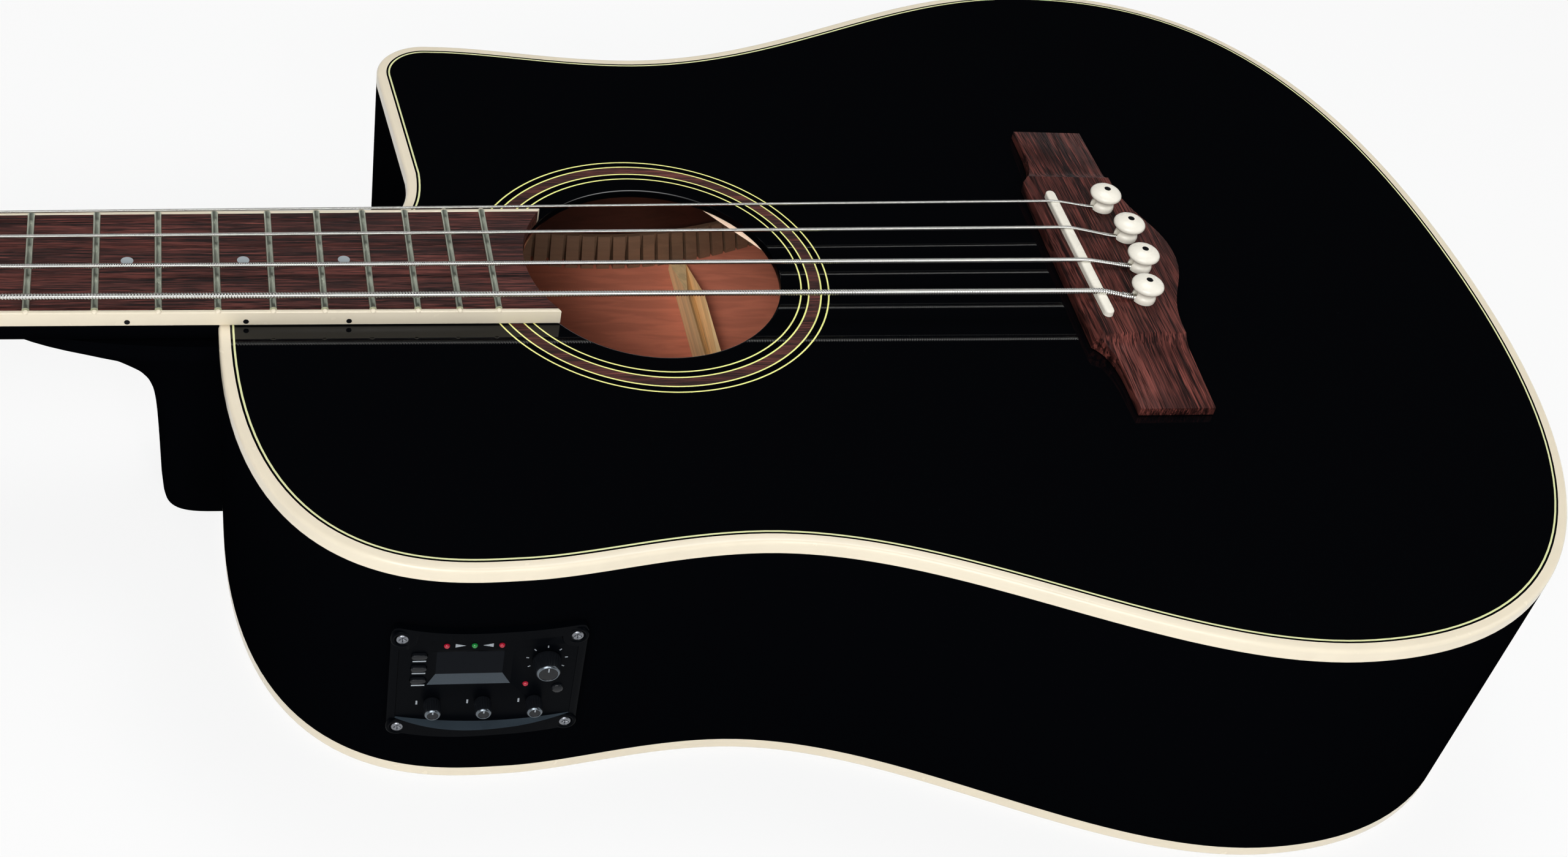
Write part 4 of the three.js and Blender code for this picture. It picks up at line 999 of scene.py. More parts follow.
class BridgeMaker(bpy.types.Operator):
    """Makes the bridge, the saddle and the four bridge pins"""

    bl_idname = "bass_guitar.bridge"
    bl_label = "Bridge, saddle and pins"

    def execute(self, context):
        self.bridge()
        self.saddle()
        for name, (x, y) in zip(STRINGS, PIN_PLACES):
            self.pin(name, x, y)
        return {"FINISHED"}

    def bridge(self):
        front, belly, half, block_half, wing_front, wing_back = -8.5, 42.5, 90, 51, -1.5, 30
        belly_reach, cove, waist = 50, 5, 20
        wing = path(
            (belly, 0),
            (16, (belly, belly_reach * 0.4), (wing_back, belly_reach * 0.5),
             (wing_back, belly_reach)),
            (wing_back, half),
            (wing_front, half),
            (wing_front, block_half + cove + waist),
            (12, (wing_front, block_half + cove), (front, block_half)))
        plan = wing + [(x, -y) for x, y in reversed(wing[1:])]
        body = build("bridge_body", [prism(plan, 0, BRIDGE_HEIGHT + 5)], ["rosewood_y"], BRIDGE)
        side = path(
            (half + 5, SEAM), (half + 5, 3.6), (block_half + 8, 5.5),
            (6, (block_half + 3, 5.6), (block_half, BRIDGE_HEIGHT)))
        side += [(-y, z) for y, z in reversed(side)]
        nose = [(front, -1), (belly + 5, -1), (belly + 5, 20), (front + 14.5, 20), (front, 5.5)]
        for sections in (
                [[(x, y, z) for y, z in side] for x in (front - 5, belly + 5)],
                [[(x, y, z) for x, z in nose] for y in (-half - 5, half + 5)]):
            carve(body, build("cut", [loft(sections)], ["rosewood_y"], BRIDGE), "INTERSECT")
        done(soften(body, 0.3, 2, 30), ["bridge"])

    def saddle(self):
        half, length = 2.1, 39.8
        plan = [
            (end * half * math.cos(a), end * (length - half + half * math.sin(a)))
            for end in (1, -1) for a in angles(8)]
        bar = build("saddle_bar", [prism(plan, 3, SADDLE_TOP)], ["ivory"], SADDLE)
        done(soften(bar, 0.7, 3, 60), ["saddle"])

    def pin(self, name, x, y):
        outline = path(
            (0, 10.2), (1.4, 10.15), (10, (6.2, 9.7), (7.6, 7.6), (6.2, 6.3)),
            (6, (4.6, 5.3), (3.9, 4.6), (4.2, 3.2)), (6, (5.0, 2.6), (5.1, 1.4), (4.8, SEAM)),
            (3.7, SEAM), (3.7, 0), (2.9, -24), (0, -24))
        strips = [1] + [0] * (len(outline) - 1)
        place = PIN_ROW @ Vector((x, y, 0))
        where = INSTRUMENT @ Matrix.Translation((place.x, place.y, BRIDGE_HEIGHT))
        peg = turned(outline, 40, strips)
        pin = build(f"bridge_pin_{name}_turned", [peg], ["ivory", "dot"], where)
        carve(pin, build("slot", [block(-8, -2.8, -1.5, 1.5, -6, 4.4)], ["ivory"], where))
        done(shade(pin, 42), ["bridge_pin_" + name])


class StringMaker(bpy.types.Operator):
    """Makes the four wound strings, each along its route from pin to post"""

    bl_idname = "bass_guitar.strings"
    bl_label = "Strings"

    def execute(self, context):
        size = millimetres(context.scene.bass_strings)
        tree = self.wound_tree()
        for index, (name, (diameter, *across)) in enumerate(STRINGS.items()):
            line = self.route(diameter, *across, PIN_PLACES[index], POST_PLACES[index])
            host = link(f"string_{name}_wound", chain(line))
            tree.run(
                host, Radius=diameter / 2, Pitch=diameter * size.winding_share,
                Depth=size.winding_depth, Wrap=size.wrap_length, Sides=8 if diameter > 1.6 else 6,
                Finish=FINISHES["wire"])
            host.data.transform(INSTRUMENT)
            done(host, ["string_" + name])
        return {"FINISHED"}

    def wound_tree(self):
        tree = Shape("Wound string")
        radius, pitch, depth, wrap, sides, finish = tree.inputs(
            Radius="Float", Pitch="Float", Depth="Float", Wrap="Float", Sides="Int",
            Finish="Material")
        even = tree.even_line(pitch / 4)
        index = tree.node("GeometryNodeInputIndex")
        along = tree.node("GeometryNodeSplineParameter", {}, (), "Length")
        thick = 1 + 0.26 * (along < wrap)
        phase = (index % 4) - 2
        groove = phase * phase / 4
        ridge = radius * (1 - depth * groove) * thick
        circle = tree.node(
            "GeometryNodeCurvePrimitiveCircle", {}, {"Resolution": sides, "Radius": 1.0})
        tube = tree.node("GeometryNodeCurveToMesh", {}, {
            "Curve": even, "Profile Curve": circle, "Scale": ridge, "Fill Caps": True})
        smooth = tree.node(
            "GeometryNodeSetShadeSmooth", {}, {"Geometry": tube, "Shade Smooth": True})
        tree.close(smooth, finish)
        return tree

    def route(self, diameter, across_saddle, across_nut, pin, post):
        """A string's middle line from its pin over saddle and nut and twice round its post."""
        radius = diameter / 2
        pin = PIN_ROW @ Vector((*pin, 0))
        side = math.copysign(1, post[1])
        lean = -math.tan(SADDLE_TURN) * (across_saddle - SADDLE_PLACE[1])
        over_saddle = (SADDLE_PLACE[0] + lean, across_saddle, SADDLE_TOP + radius - 0.1)
        line = [
            (pin.x - 2.6, pin.y, BRIDGE_HEIGHT - 3),
            (pin.x - 3.6, pin.y, BRIDGE_HEIGHT + radius),
            (pin.x - 7, pin.y, BRIDGE_HEIGHT + radius + 0.3),
            over_saddle,
            (NUT_X - 2.5, across_nut, NUT_REST + radius),
        ]
        wrap = POST_RADIUS + 0.15 + radius
        turns, steps = 2, 28
        to_instrument = INSTRUMENT.inverted() @ HEAD
        for i in range(turns * steps + 1):
            t = i / steps
            a = -side * (math.pi / 2 + 2 * math.pi * t)
            place = Vector((
                post[0] + wrap * math.cos(a), post[1] + wrap * math.sin(a),
                WINDING_TOP - (diameter + 0.25) * t))
            line.append(tuple(to_instrument @ place))
        return self.eased(line, 5)

    @staticmethod
    def eased(points, last):
        """The line with its corners before the last one given rounded."""
        made = [points[0]]
        for before, corner, after in zip(points[:last], points[1:last], points[2:last + 1]):
            before, corner, after = (Vector(p) for p in (before, corner, after))
            reach = min(2.5, (corner - before).length / 2.2, (after - corner).length / 2.2)
            start = corner + (before - corner).normalized() * reach
            end = corner + (after - corner).normalized() * reach
            made += [tuple(start), *bezier([start, corner, end], 6)]
        return made + points[last:]


def fret_x(fret):
    return -SCALE_LENGTH * 2 ** (-fret / 12)


def board_half(x):
    return NUT_HALF + BOARD_WIDENING * (x + SCALE_LENGTH) / (fret_x(22) + SCALE_LENGTH)


class BoardMaker(bpy.types.Operator):
    """Makes the fingerboard with its binding, dots and frets, and the nut"""

    bl_idname = "bass_guitar.board"
    bl_label = "Fingerboard and frets"

    def execute(self, context):
        size = millimetres(context.scene.bass_neck)
        corner = board_half(SOUNDHOLE.x - HOLE_RADIUS)
        inner = corner - size.board_binding

        def end_x(y):
            return SOUNDHOLE.x - math.sqrt(HOLE_RADIUS ** 2 - y * y)

        arc = [(end_x(y), y) for y in evenly(-inner, inner, 24)]
        nut_half = board_half(NUT_X) - size.board_binding
        plan = [(NUT_X, -nut_half), *arc, (NUT_X, nut_half)]
        board = build("board", [prism(plan, BOARD_LOW, BOARD_TOP)], ["rosewood_x"])
        done(soften(board, 0.15, 2), ["fingerboard"])
        strips = []
        for side in (-1, 1):
            outline = [
                (NUT_X, side * nut_half), (end_x(inner), side * inner),
                (end_x(corner) - BINDING_LIP, side * corner), (NUT_X, side * board_half(NUT_X))]
            strips.append(prism(outline, BOARD_LOW, BOARD_TOP + 0.02))
        binding = build("board_binding", strips, ["binding"])
        done(soften(binding, 0.35, 3))
        self.frets(size)
        self.dots(size)
        soft_copy("nut", "ivory", 0.25, 2)
        return {"FINISHED"}

    def frets(self, size):
        tree = self.fret_tree()
        half, low, foot = size.fret_width / 2, -0.6, 0.25
        crown = [
            (-half, low), (-half, foot),
            *((half * -math.cos(a), foot + (size.fret_height - foot) * math.sin(a))
              for a in angles(8)[1:-1]),
            (half, foot), (half, low)]
        bar = loft([[(x, y, BOARD_TOP + z) for x, z in crown] for y in (-1, 1)])
        host = build("frets", [bar], ["fret"], UNPLACED)
        tree.run(
            host, Length=float(SCALE_LENGTH), Count=size.fret_count,
            Start=board_half(NUT_X) - size.board_binding,
            End=board_half(fret_x(22)) - size.board_binding, Finish=FINISHES["fret"])
        host.data.transform(INSTRUMENT)
        done(shade(host, 50))
        dome = turned(
            [(0, 0.55), (0.55, 0.5), (1.0, 0.25), (1.15, -0.1), (1.15, -0.3), (0, -0.3)], 12)
        nubs = []
        for x in (fret_x(fret) for fret in range(1, size.fret_count + 1)):
            for side in (-1, 1):
                y = side * (board_half(x) - size.board_binding / 2)
                nubs.append(shifted(dome, x, y, BOARD_TOP))
        done(build("fret_nibs", nubs, ["binding"]))

    def fret_tree(self):
        tree = Shape("Frets")
        length, count, start, end, finish = tree.inputs(
            Length="Float", Count="Int", Start="Float", End="Float", Finish="Material")
        line = tree.node("GeometryNodeMeshLine", {"mode": "OFFSET"}, {"Count": count})
        number = tree.node("GeometryNodeInputIndex") + 1
        x = -1 * (length * 2 ** (number / -12))
        last = -1 * (length * 2 ** (count / -12))
        share = (x + length) / (last + length)
        half = start + (end - start) * share
        points = tree.node(
            "GeometryNodeSetPosition", {}, {"Geometry": line, "Position": tree.vector(X=x)})
        stretch = tree.vector(X=1.0, Y=half, Z=1.0)
        tree.close(tree.strewn(points, tree.geometry, Scale=stretch), finish)
        return tree

    def dots(self, size):
        large, small = size.face_dot / 2, size.side_dot / 2
        disc = turned([(0, 0.06), (large, 0.04), (large, -1), (0, -1)], 32)
        dot = turned([(0, 0.04), (small, 0.03), (small, -1), (0, -1)], 20)
        dot = moved(dot, Matrix.Rotation(math.pi / 2, 4, "X"))
        face, side = [], []
        for fret in (3, 5, 7, 9, 12, 15, 17, 19):
            x = (fret_x(fret) + fret_x(fret - 1)) / 2
            for way in (-1, 1) if fret == 12 else (0,):
                face.append(shifted(disc, x, 9 * way, BOARD_TOP))
                side.append(shifted(dot, x + 5 * way, -board_half(x), 2.2))
        done(build("face_dots", face, ["pearl"]))
        done(build("side_dots", side, ["dot"]))


class NeckMaker(bpy.types.Operator):
    """Makes the neck with its heel and headstock, and the cover of the truss rod"""

    bl_idname = "bass_guitar.neck"
    bl_label = "Neck and headstock"

    def execute(self, context):
        shaft = []
        for share in evenly(0, 1, 48):
            x = mix(HEAD_X, BODY_X + SEAM, share)
            half = board_half(x) - BINDING_LIP
            depth = mix(*NECK_DEPTHS, share)
            shaft.append([
                (x, half * math.cos(a), NECK_TOP - depth * math.sin(a)) for a in angles(32)])
        neck = build("neck_wood", [loft(shaft), self.heel()], ["side_lacquer"])
        done(shade(neck, 45), ["neck"])
        plank = prism(self.head_plan(), -HEAD_THICKNESS, 0)
        head = build("headstock_wood", [plank], ["lacquer"], HEAD)
        done(soften(head, 1.2, 4))
        soft_copy("truss_rod_cover", "satin", 0.4, 2)
        places = ((-7, 7.5), (-7, -7.5), (-39, 0))
        heads = [shifted(screw_head(1.9), x, y, 1.9) for x, y in places]
        done(build("cover_screws", heads, ["chrome"], HEAD))
        return {"FINISHED"}

    def heel(self):
        """Half ellipses from the neck down, each with its depth, its reach and its half width."""
        stations = [
            (13, 86, 26), (18, 80, 27.5), (21.5, 68, 27), (25, 53, 26.5), (30, 42, 26),
            (36, 33.5, 25.2), (45, 27, 24.2), (60, 24, 22.6), (96, 23.2, 19.4)]
        face = BODY_X + SEAM

        def arc(reach, half, height, power=0.55):
            """Half an ellipse before the body, squarer with a smaller power."""
            points = []
            for a in angles(32):
                x = face - reach * math.sin(a) ** power
                y = math.copysign(half * abs(math.cos(a)) ** power, math.cos(a))
                points.append((x, y, height(x)))
            return points

        rows = [
            arc(reach, half, lambda x, d=depth: -d, mix(1, 0.55, max(0, (depth - 36) / 60)))
            for depth, reach, half in through(stations, 6)]
        rows.append(arc(22.8, 19, above_back(3.5)))
        rows.append(arc(22.4, 18.7, above_back(1.2)))
        rows.append(arc(21, 17.5, back_height))
        return loft(rows)

    def head_plan(self):
        throat = board_half(NUT_X) - BINDING_LIP
        half = path(
            (0, throat), (-14, throat), (16, (-33.2, throat), (-26.8, 37.5), (-46, 37.5)),
            (-192, 33), (16, (-200, 16.5), (-200, 0)))
        return half + [(x, -y) for x, y in reversed(half[:-1])]


def screw_head(radius):
    """A domed screw head, its top pressed in by a cross."""
    cross_reach, cross_depth = 0.62, 0.3
    dome = (
        (0, 0.16), (0.2, 0.16), (0.45, 0.26), (0.62, 0.38), (0.85, 0.27), (1, 0.08), (1, -0.3),
        (0, -0.3))
    sections = []
    for a in angles(32, 2 * math.pi)[:-1]:
        arm = max(0, math.cos(4 * a)) ** 6
        row = []
        for share, height in dome:
            dip = arm * cross_depth if 0 < share < cross_reach else 0
            row.append((
                radius * share * math.cos(a), radius * share * math.sin(a),
                radius * (height - dip)))
        sections.append(row)
    return loft(sections, True)


class TunerMaker(bpy.types.Operator):
    """Makes the four tuning machines, each a housing, a post and a button"""

    bl_idname = "bass_guitar.tuners"
    bl_label = "Tuning machines"

    def execute(self, context):
        bushing = turned([
            (4.8, -0.5), (8.2, -0.5), (8.2, 0.5), (7.4, 1.3), (5.4, 1.5), (4.8, 1.2), (4.8, -0.5)])
        for name, (x, y) in zip(STRINGS, POST_PLACES):
            where = HEAD @ Matrix.Translation((x, y, 0))
            soft_copy("tuner_housing_" + name, "chrome", 0.6, 3)
            done(build(f"bushing_{name}", [bushing], ["chrome"], where))
            self.post(name, where)
            self.button(name, where, math.copysign(1, y))
        return {"FINISHED"}

    def post(self, name, where):
        high = GEAR_LOW + GEAR_HEIGHT
        profile = path(
            (0, GEAR_LOW), (GEAR_RADIUS, GEAR_LOW), (GEAR_RADIUS, high), (4.5, high), (4.5, 3.1),
            (8, (3.9, 6), (3.7, 10), (4.0, 13.4)), (5, 14.4), (5, 16.6), (4.4, 17.4), (0, 17.4))
        post = build(f"tuner_post_{name}_turned", [turned(profile)], ["chrome"], where)
        carve(post, build("slot", [block(-9, 9, -1.2, 1.2, 14, 22)], ["chrome"], where))
        done(shade(post, 40), ["tuner_post_" + name], "post_" + name)

    def button(self, name, where, side):
        start, end, radius = 24, 46, 12
        profile = path(
            (0, start), (3.6, start), (4.2, start + 1.2),
            (10, (7, start + 3), (12, start + 5), (radius, start + 11)),
            (10, (radius, end - 3), (9, end), (5, end)), (0, end))
        shaft = turned([
            (0, -7), (WORM_RADIUS, -7), (WORM_RADIUS, 7), (2.2, 7), (2.2, start + 1),
            (0, start + 1)], 24)
        worm_place = (GEAR_RADIUS + WORM_RADIUS + 0.35, 0, GEAR_LOW + GEAR_HEIGHT / 2)
        to_shaft = (
            where @ Matrix.Translation(worm_place) @ Matrix.Rotation(-side * math.pi / 2, 4, "X"))
        parts = [turned(profile, 48, squash=0.55), shaft]
        button = build(f"tuner_button_{name}_turned", parts, ["chrome"], to_shaft)
        done(shade(button, 45), ["tuner_button_" + name], "button_" + name)


class PreampMaker(bpy.types.Operator):
    """Makes the preamp's panel with its window, lamps, marks and screws"""

    bl_idname = "bass_guitar.preamp"
    bl_label = "Preamp panel"

    def execute(self, context):
        # The cutters' lit edge faces carry the painted highlight into the panel
        panel = build("panel", [self.plate()], ["satin", "lit_edge"], PANEL)
        cutters = [
            self.window_cut(high=14, depth=-1.4),
            self.pocket(),
            *(self.pill(PUSH_X, z, reach=2.95, half=1.4) for z in PUSH_BUTTONS.values()),
        ]
        for cutter in cutters:
            carve(panel, build("cutter", [cutter], ["satin", "lit_edge"], PANEL))
        done(soften(panel, 0.35, 3, 28), ["preamp_panel"])
        x1, x2, y1, y2 = WINDOW_PANE
        pane = block(x1 - 0.1, x2 + 0.1, y1 - 0.1, y2 + 0.1, -1.7, -1.32)
        window = build("window_glass", [pane], ["window"], PANEL)
        done(soften(window, 0.1, 1))
        self.lamps()
        self.marks()
        self.screws()
        return {"FINISHED"}

    def plate(self):
        half, corner, thickness = 33.4, 3.2, 2.7
        low, high = PANEL_Z
        sections = []
        for x in evenly(-half, half, 64):
            over = max(0, abs(x) - (half - corner))
            trim = corner - math.sqrt(max(0, corner ** 2 - over ** 2))
            rise = wall_rise(x)
            front, back = rise + thickness, min(-2, rise + 0.2)
            sections.append([
                (x, low + trim, back), (x, low + trim, front), (x, high - trim, front),
                (x, high - trim, back)])
        return loft(sections)

    def pocket(self):
        """A recess whose foot bows down and whose walls lean out from its middle height."""
        half, low, high, middle, corner, bow = 30.5, -79.6, -33.2, -57, 6.4, 3.8
        foot = [(x, low + bow * (x / half) ** 2) for x in evenly(-half, half, 20)]
        shoulder = path(
            (half, high - corner), (8, (half - 5.8, high - corner + 0.6), (half - corner, high)))
        plan = foot + shoulder + [(-x, y) for x, y in reversed(shoulder)]
        rings = [
            [(x * grow, mix(middle, y, grow), z) for x, y in plan]
            for z, grow in ((0, 1), (12, 1.12))]
        # The foot's faces take the lit edge finish, a painted highlight
        return loft(rings, strips=[1] * 20 + [0] * (len(plan) - 20))

    @staticmethod
    def window_cut(high, depth):
        """A cut that narrows from the window's frame down to its pane."""
        part = loft([
            [(x, y, z) for x, y in oblong(*edges)]
            for edges, z in ((WINDOW_PANE, depth), (WINDOW_FRAME, 0), (WINDOW_FRAME, high))])
        # The lower face from the frame down to the pane takes the lit edge finish, a painted
        # highlight
        part[2][0] = 1
        return part

    @staticmethod
    def pill(x, y, reach, half, low=-3, high=4):
        """A bar with round ends."""
        plan = [
            (x + end * (reach - half + half * math.cos(a - math.pi / 2)),
             y + end * half * math.sin(a - math.pi / 2))
            for end in (1, -1) for a in angles(8)]
        return prism(plan, low, high)

    def lamps(self):
        dome = turned([
            (0, 1.0), (0.4, 0.93), (0.75, 0.7), (0.98, 0.35), (1.05, 0), (1.05, -1), (0, -1)], 24)
        red = [shifted(dome, x, y) for x, y in ((-14.5, LAMP_Z), (4.2, LAMP_Z), (13.8, -59.3))]
        done(build("red_lamps", red, ["red_lamp"], PANEL))
        done(build("green_lamp", [shifted(dome, -5.1, LAMP_Z)], ["green_lamp"], PANEL))

    def marks(self):
        parts = []
        for x, way in ((-9.9, 1), (-0.4, -1)):
            foot = x - way * 1.7
            arrow = [(foot, LAMP_Z - 0.9), (x + way * 1.8, LAMP_Z), (foot, LAMP_Z + 0.9)]
            parts.append(prism(arrow[::way], *MARK_HEIGHTS))
        for z in PUSH_BUTTONS.values():
            parts.append(block(PUSH_X - 2.2, PUSH_X + 2.4, z - 3.3, z - 2.7, *MARK_HEIGHTS))
        for x in TONE_KNOBS.values():
            parts.append(block(x - 5.6, x - 5.0, TONE_Z - 1.2, TONE_Z + 0.8, *MARK_HEIGHTS))
        for i in range(7):
            a = math.radians(-120 + 40 * i)
            turn = Matrix.Translation((*VOLUME, 0)) @ Matrix.Rotation(-a, 4, "Z")
            parts.append(moved(block(-0.2, 0.2, 6.3, 7.3, *MARK_HEIGHTS), turn))
        done(build("panel_marks", parts, ["print"], PANEL))

    def screws(self):
        tree = Shape("Screws")
        piece, finish = tree.inputs(Screw="Object", Finish="Material")
        tree.close(tree.strewn(tree.geometry, tree.shape_of(piece)), finish)
        places = [(x, y, wall_rise(x) + 2.55) for x in (-29.6, 29.6) for y in (-33.6, -80.4)]
        cup = turned([
            (2.4, -0.9), (2.5, 0.1), (3.0, 0.55), (3.6, 0.62), (4.0, 0.3), (4.1, -0.9),
            (2.4, -0.9)])
        for name, part, finish in (
                ("panel_screws", screw_head(2.3), "dark_steel"), ("screw_cups", cup, "satin")):
            piece = build("piece", [part], [finish], UNPLACED)
            mesh = bpy.data.meshes.new(name)
            mesh.from_pydata(places, [], [])
            host = tree.run(link(name, mesh), Screw=piece, Finish=FINISHES[finish])
            bpy.data.objects.remove(piece)
            host.data.transform(PANEL)
            done(shade(host, 50))


class KnobMaker(bpy.types.Operator):
    """Makes the preamp's four knobs and four buttons, each on its own body"""

    bl_idname = "bass_guitar.knobs"
    bl_label = "Knobs and buttons"

    def execute(self, context):
        tree = self.ridge_tree()
        self.knob(tree, "volume", *VOLUME, radius=5.1, face=4.1, length=6.8, count=30)
        for name, x in TONE_KNOBS.items():
            self.knob(tree, name, x, TONE_Z, radius=2.9, face=2.75, length=6.4, count=22)
        for name, z in PUSH_BUTTONS.items():
            pill = PreampMaker.pill(PUSH_X, z, reach=2.7, half=1.15, low=-0.9, high=1.1)
            button = soften(build(name + "_key", [pill], ["knob"], PANEL), 0.35, 3, 50)
            done(button, [name + "_button"], name + "_key")
        where = PANEL @ Matrix.Translation((*PHASE, 0))
        dome = turned([(0, 1.1), (1.2, 1.05), (1.8, 0.85), (2.1, 0.45), (2.1, -0.9), (0, -0.9)], 36)
        phase = build("phase_key", [dome], ["knob"], where)
        done(phase, ["phase_button"], "phase_key")
        return {"FINISHED"}

    def ridge_tree(self):
        tree = Shape("Knob ridges")
        count, radius, finish = tree.inputs(Count="Int", Radius="Float", Finish="Material")
        ring = tree.node("GeometryNodeMeshCircle", {}, {"Vertices": count, "Radius": radius})
        turn = tree.node("GeometryNodeInputIndex") * (2 * math.pi) / count
        tree.close(tree.strewn(ring, tree.geometry, Rotation=tree.vector(Z=turn)), finish)
        return tree

    def knob(self, tree, name, x, y, radius, face, length, count):
        """A cap with its pointer, its radius at the foot and at the face, and as many ridges."""
        where = PANEL @ Matrix.Translation((x, y, 0))
        profile = [
            (0, -2), (1.8, -2), (1.8, SEAM), (radius * 0.97, SEAM), (radius, 0.7),
            (face, length - 0.6), (face - 0.12, length - 0.35), (face - 0.5, length),
            (face - 0.75, length), (face - 0.95, length - 0.18), (0, length - 0.12)]
        strips = [0, 0, 0, 0, 0, 1, 1, 1, 0, 0, 0]
        pointer = block(-0.22, 0.22, face * 0.25, face * 0.7, length - 0.3, length - 0.06, 2)
        cap = turned(profile, 48, strips)
        body = build(name + "_cap", [cap, pointer], ["knob", "rim", "print"], where)
        done(shade(body, 35), [name + "_knob"], name)
        lean = (face - radius) / (length - 1.3)
        half, low = 0.16, 1.1
        section = [(-0.2, -half), (0.02, -half), (0.16, 0), (0.02, half), (-0.2, half)]
        ridge = loft([
            [(px + lean * (pz - low), py, pz) for px, py in section]
            for pz in (low, length - 0.9)])
        host = build(name + "_ridges", [ridge], ["knob"], UNPLACED)
        tree.run(host, Count=count, Radius=mix(radius, face, 0.08), Finish=FINISHES["knob"])
        host.data.transform(where)
        done(host, body=name)


class HardwareMaker(bpy.types.Operator):
    """Makes the output jack in the tail and the strap button on the heel"""

    bl_idname = "bass_guitar.hardware"
    bl_label = "Jack and strap button"

    def execute(self, context):
        middle = back_height(TAIL_X) / 2
        where = (
            INSTRUMENT @ Matrix.Translation((TAIL_X, 0, middle))
            @ Matrix.Rotation(math.pi / 2, 4, "Y"))
        barrel = turned(path(
            (0, -14), (0, -24), (6, -24), (6, SEAM), (10, SEAM), (10, 1.8), (9.4, 2.6),
            (8, (6.8, 3.2), (6.4, 5), (6.6, 7.2)), (8.3, 9.2), (8.6, 10.2), (8.6, 11.2), (8.0, 12),
            (4.2, 12), (3.5, 11.3), (3.5, -14)), 56)
        jack = build("jack_barrel", [barrel], ["chrome"], where)
        done(shade(jack, 35), ["output_jack"])
        strap = soften(copy_of("strap_button", "chrome"), 0.4, 3, 20)
        done(shade(strap, 60), ["strap_button"])
        return {"FINISHED"}


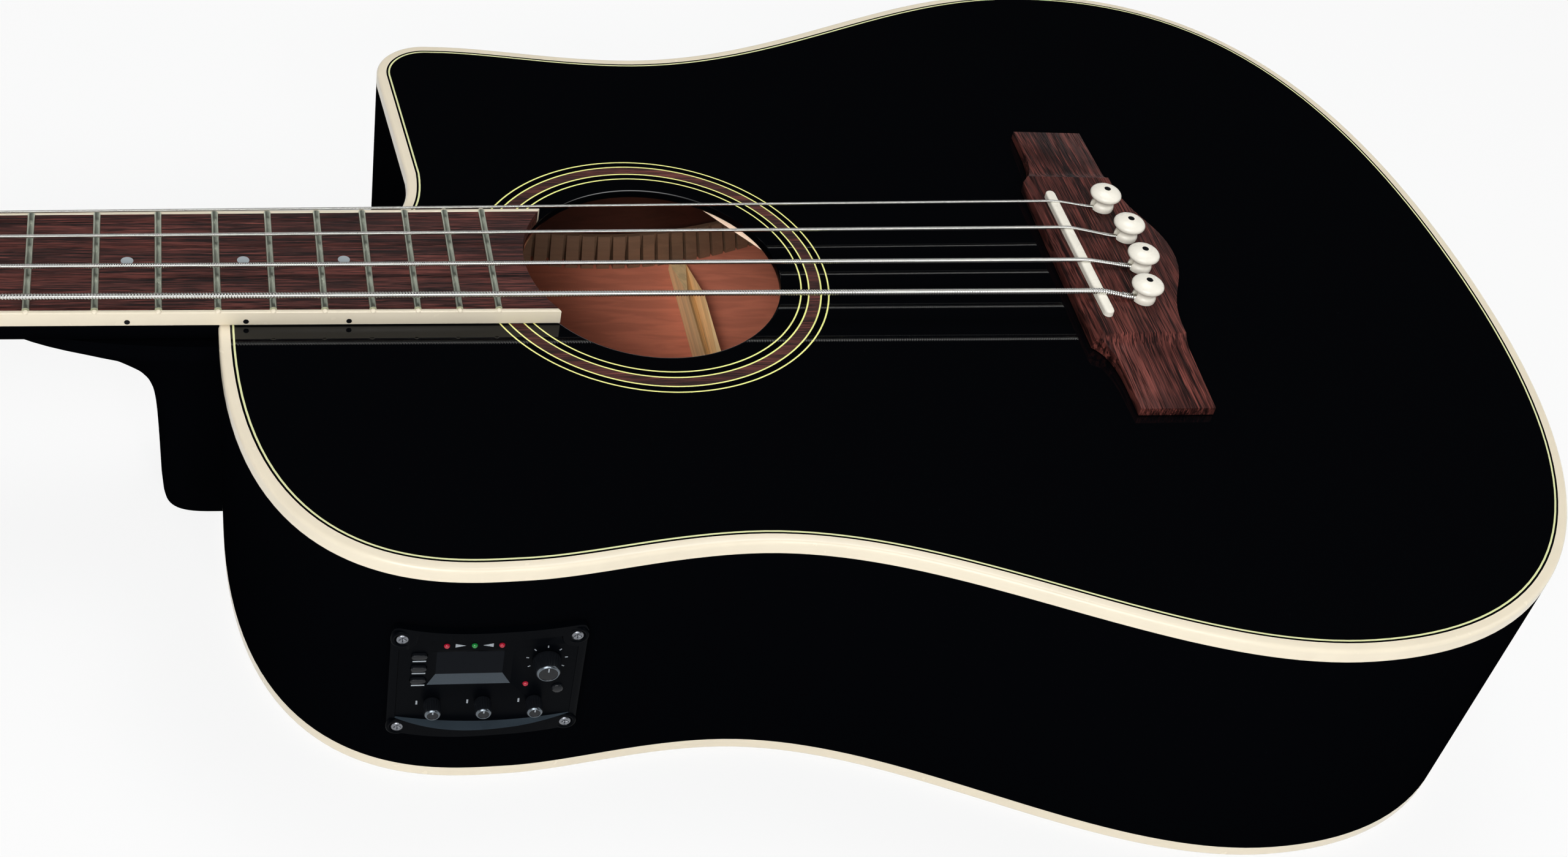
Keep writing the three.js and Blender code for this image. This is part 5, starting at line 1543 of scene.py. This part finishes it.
class StageMaker(bpy.types.Operator):
    """Makes the floor, the lights, the surroundings and the camera"""

    bl_idname = "bass_guitar.stage"
    bl_label = "Stage"

    def execute(self, context):
        settings = context.scene.bass_stage
        self.floor(settings.shade)
        self.room(context.scene, settings.room_light)
        crossed = [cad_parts[node] for node in CROSSED_BRACES]
        inside = [bpy.data.objects["back"], *(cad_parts[node] for node in BACK_BRACES)]
        for name, place, width, receivers in (
                ("key", KEY_PLACE, 2.4, ()),
                ("tail", (2.0, -0.5, 1.7), 1.8, ()),
                ("top", (0.12, 0.4, 1.5), 1.0, ()),
                ("panel", (-0.07, -1.09, 0.8), 0.3, ()),
                ("inside", KEY_PLACE, 1.2, inside + crossed),
                ("brace", KEY_PLACE, 1.2, crossed)):
            power = getattr(settings, name + "_power")
            self.light(name + "_light", place, width, power, receivers)
        self.camera(context.scene, settings.lens)
        context.scene.view_settings.view_transform = "Standard"
        return {"FINISHED"}

    def seen(self, graph):
        """One for the camera's rays, and one for those and the rays of mirrors and glass."""
        camera, glossy, glass = (
            graph.node("ShaderNodeLightPath", {}, (), kind)
            for kind in ("Is Camera Ray", "Is Glossy Ray", "Is Transmission Ray"))
        return camera, camera.joined("MAXIMUM", glossy.joined("MAXIMUM", glass))

    def floor(self, shade_share):
        material = bpy.data.materials.new("White floor")
        material.use_nodes = True
        graph = Graph(material.node_tree)
        graph.tree.nodes.clear()
        _, seen = self.seen(graph)
        matt = graph.node("ShaderNodeBsdfDiffuse", {}, {"Color": (0.85, 0.85, 0.85, 1)})
        white = graph.node("ShaderNodeEmission", {}, {"Color": (1, 1, 1, 1), "Strength": 1.0})
        mixed = graph.node("ShaderNodeMixShader", {}, (seen * (1 - shade_share), matt, white))
        exit_node = graph.tree.nodes.new("ShaderNodeOutputMaterial")
        graph.tree.links.new(mixed.socket, exit_node.inputs["Surface"])
        mesh = bpy.data.meshes.new("floor")
        reach, low = 6, -0.2 * MM
        mesh.from_pydata(
            [(x, y, low) for x, y in oblong(-reach, reach, -reach, reach)], [], [(0, 1, 2, 3)])
        mesh.materials.append(material)
        link("floor", mesh)

    def room(self, scene, strength):
        world = bpy.data.worlds.new("Studio")
        world.use_nodes = True
        scene.world = world
        graph = Graph(world.node_tree)
        background = graph.tree.nodes["Background"]
        camera, seen = self.seen(graph)
        way = graph.node("ShaderNodeTexCoord", {}, (), "Generated")
        height = graph.node("ShaderNodeSeparateXYZ", {}, (way,), "Z")
        ceiling = graph.node("ShaderNodeMapRange", {}, {
            "Value": height, "From Min": 0.12, "From Max": 0.4, "To Min": 1.0, "To Max": 0.006})
        level = strength * (1 - seen) + camera.joined("MAXIMUM", ceiling) * seen
        graph.tree.links.new(level.socket, background.inputs["Strength"])
        background.inputs["Color"].default_value = (1, 1, 1, 1)

    def light(self, name, place, width, power, receivers=()):
        lamp = bpy.data.lights.new(name, "AREA")
        lamp.shape = "SQUARE"
        lamp.size = width
        lamp.energy = power
        lamp.use_nodes = True
        graph = Graph(lamp.node_tree)
        place_on = graph.node("ShaderNodeNewGeometry", {}, (), "Parametric")
        off = graph.node(
            "ShaderNodeVectorMath", {"operation": "DISTANCE"}, (place_on, (0.5, 0.5, 0)), "Value")
        fall = graph.node("ShaderNodeMapRange", {"interpolation_type": "SMOOTHSTEP"}, {
            "Value": off, "From Min": 0.1, "From Max": 0.5, "To Min": 1.0, "To Max": 0.0})
        graph.tree.links.new(fall.socket, graph.tree.nodes["Emission"].inputs["Strength"])
        obj = link(name, lamp)
        obj.location = place
        obj.rotation_euler = (LIT_PLACE - Vector(place)).to_track_quat("-Z", "Y").to_euler()
        if receivers:
            lit = bpy.data.collections.new(name + "_receivers")
            for receiver in receivers:
                lit.objects.link(receiver)
            obj.light_linking.receiver_collection = lit

    def camera(self, scene, lens):
        data = bpy.data.cameras.new("camera")
        data.lens = lens
        data.sensor_width = 36
        obj = link("camera", data)
        axes = Matrix((CAMERA_RIGHT, CAMERA_UP, CAMERA_RIGHT.cross(CAMERA_UP)))
        obj.matrix_world = Matrix.Translation(CAMERA_PLACE) @ axes.transposed().to_4x4()
        scene.camera = obj


MAKERS = [
    TopMaker, BindingMaker, SideMaker, InsideMaker, BridgeMaker, StringMaker, BoardMaker, NeckMaker,
    TunerMaker, PreampMaker, KnobMaker, HardwareMaker, StageMaker,
]
GROUPS = {
    "bass_body": BodySizes,
    "bass_neck": NeckSizes,
    "bass_strings": StringSizes,
    "bass_colours": Colours,
    "bass_stage": StageSettings,
}


class GuitarPanel(bpy.types.Panel):
    bl_idname = "VIEW3D_PT_bass_guitar"
    bl_label = "Bass guitar"
    bl_space_type = "VIEW_3D"
    bl_region_type = "UI"
    bl_category = "Bass guitar"

    def draw(self, context):
        for key, group in GROUPS.items():
            box = self.layout.box()
            for name in group.__annotations__:
                box.prop(getattr(context.scene, key), name)
        for maker in MAKERS:
            self.layout.operator(maker.bl_idname)


def register():
    for made in (*GROUPS.values(), *MAKERS, GuitarPanel):
        bpy.utils.register_class(made)
    for key, group in GROUPS.items():
        setattr(bpy.types.Scene, key, PointerProperty(type=group))


def unregister():
    for key in GROUPS:
        delattr(bpy.types.Scene, key)
    for made in (GuitarPanel, *reversed(MAKERS), *reversed(GROUPS.values())):
        bpy.utils.unregister_class(made)


def main():
    register()
    prepare_finishes(bpy.context.scene.bass_colours)
    for maker in MAKERS:
        group, name = maker.bl_idname.split(".")
        getattr(getattr(bpy.ops, group), name)()


if __name__ == "__main__":
    main()
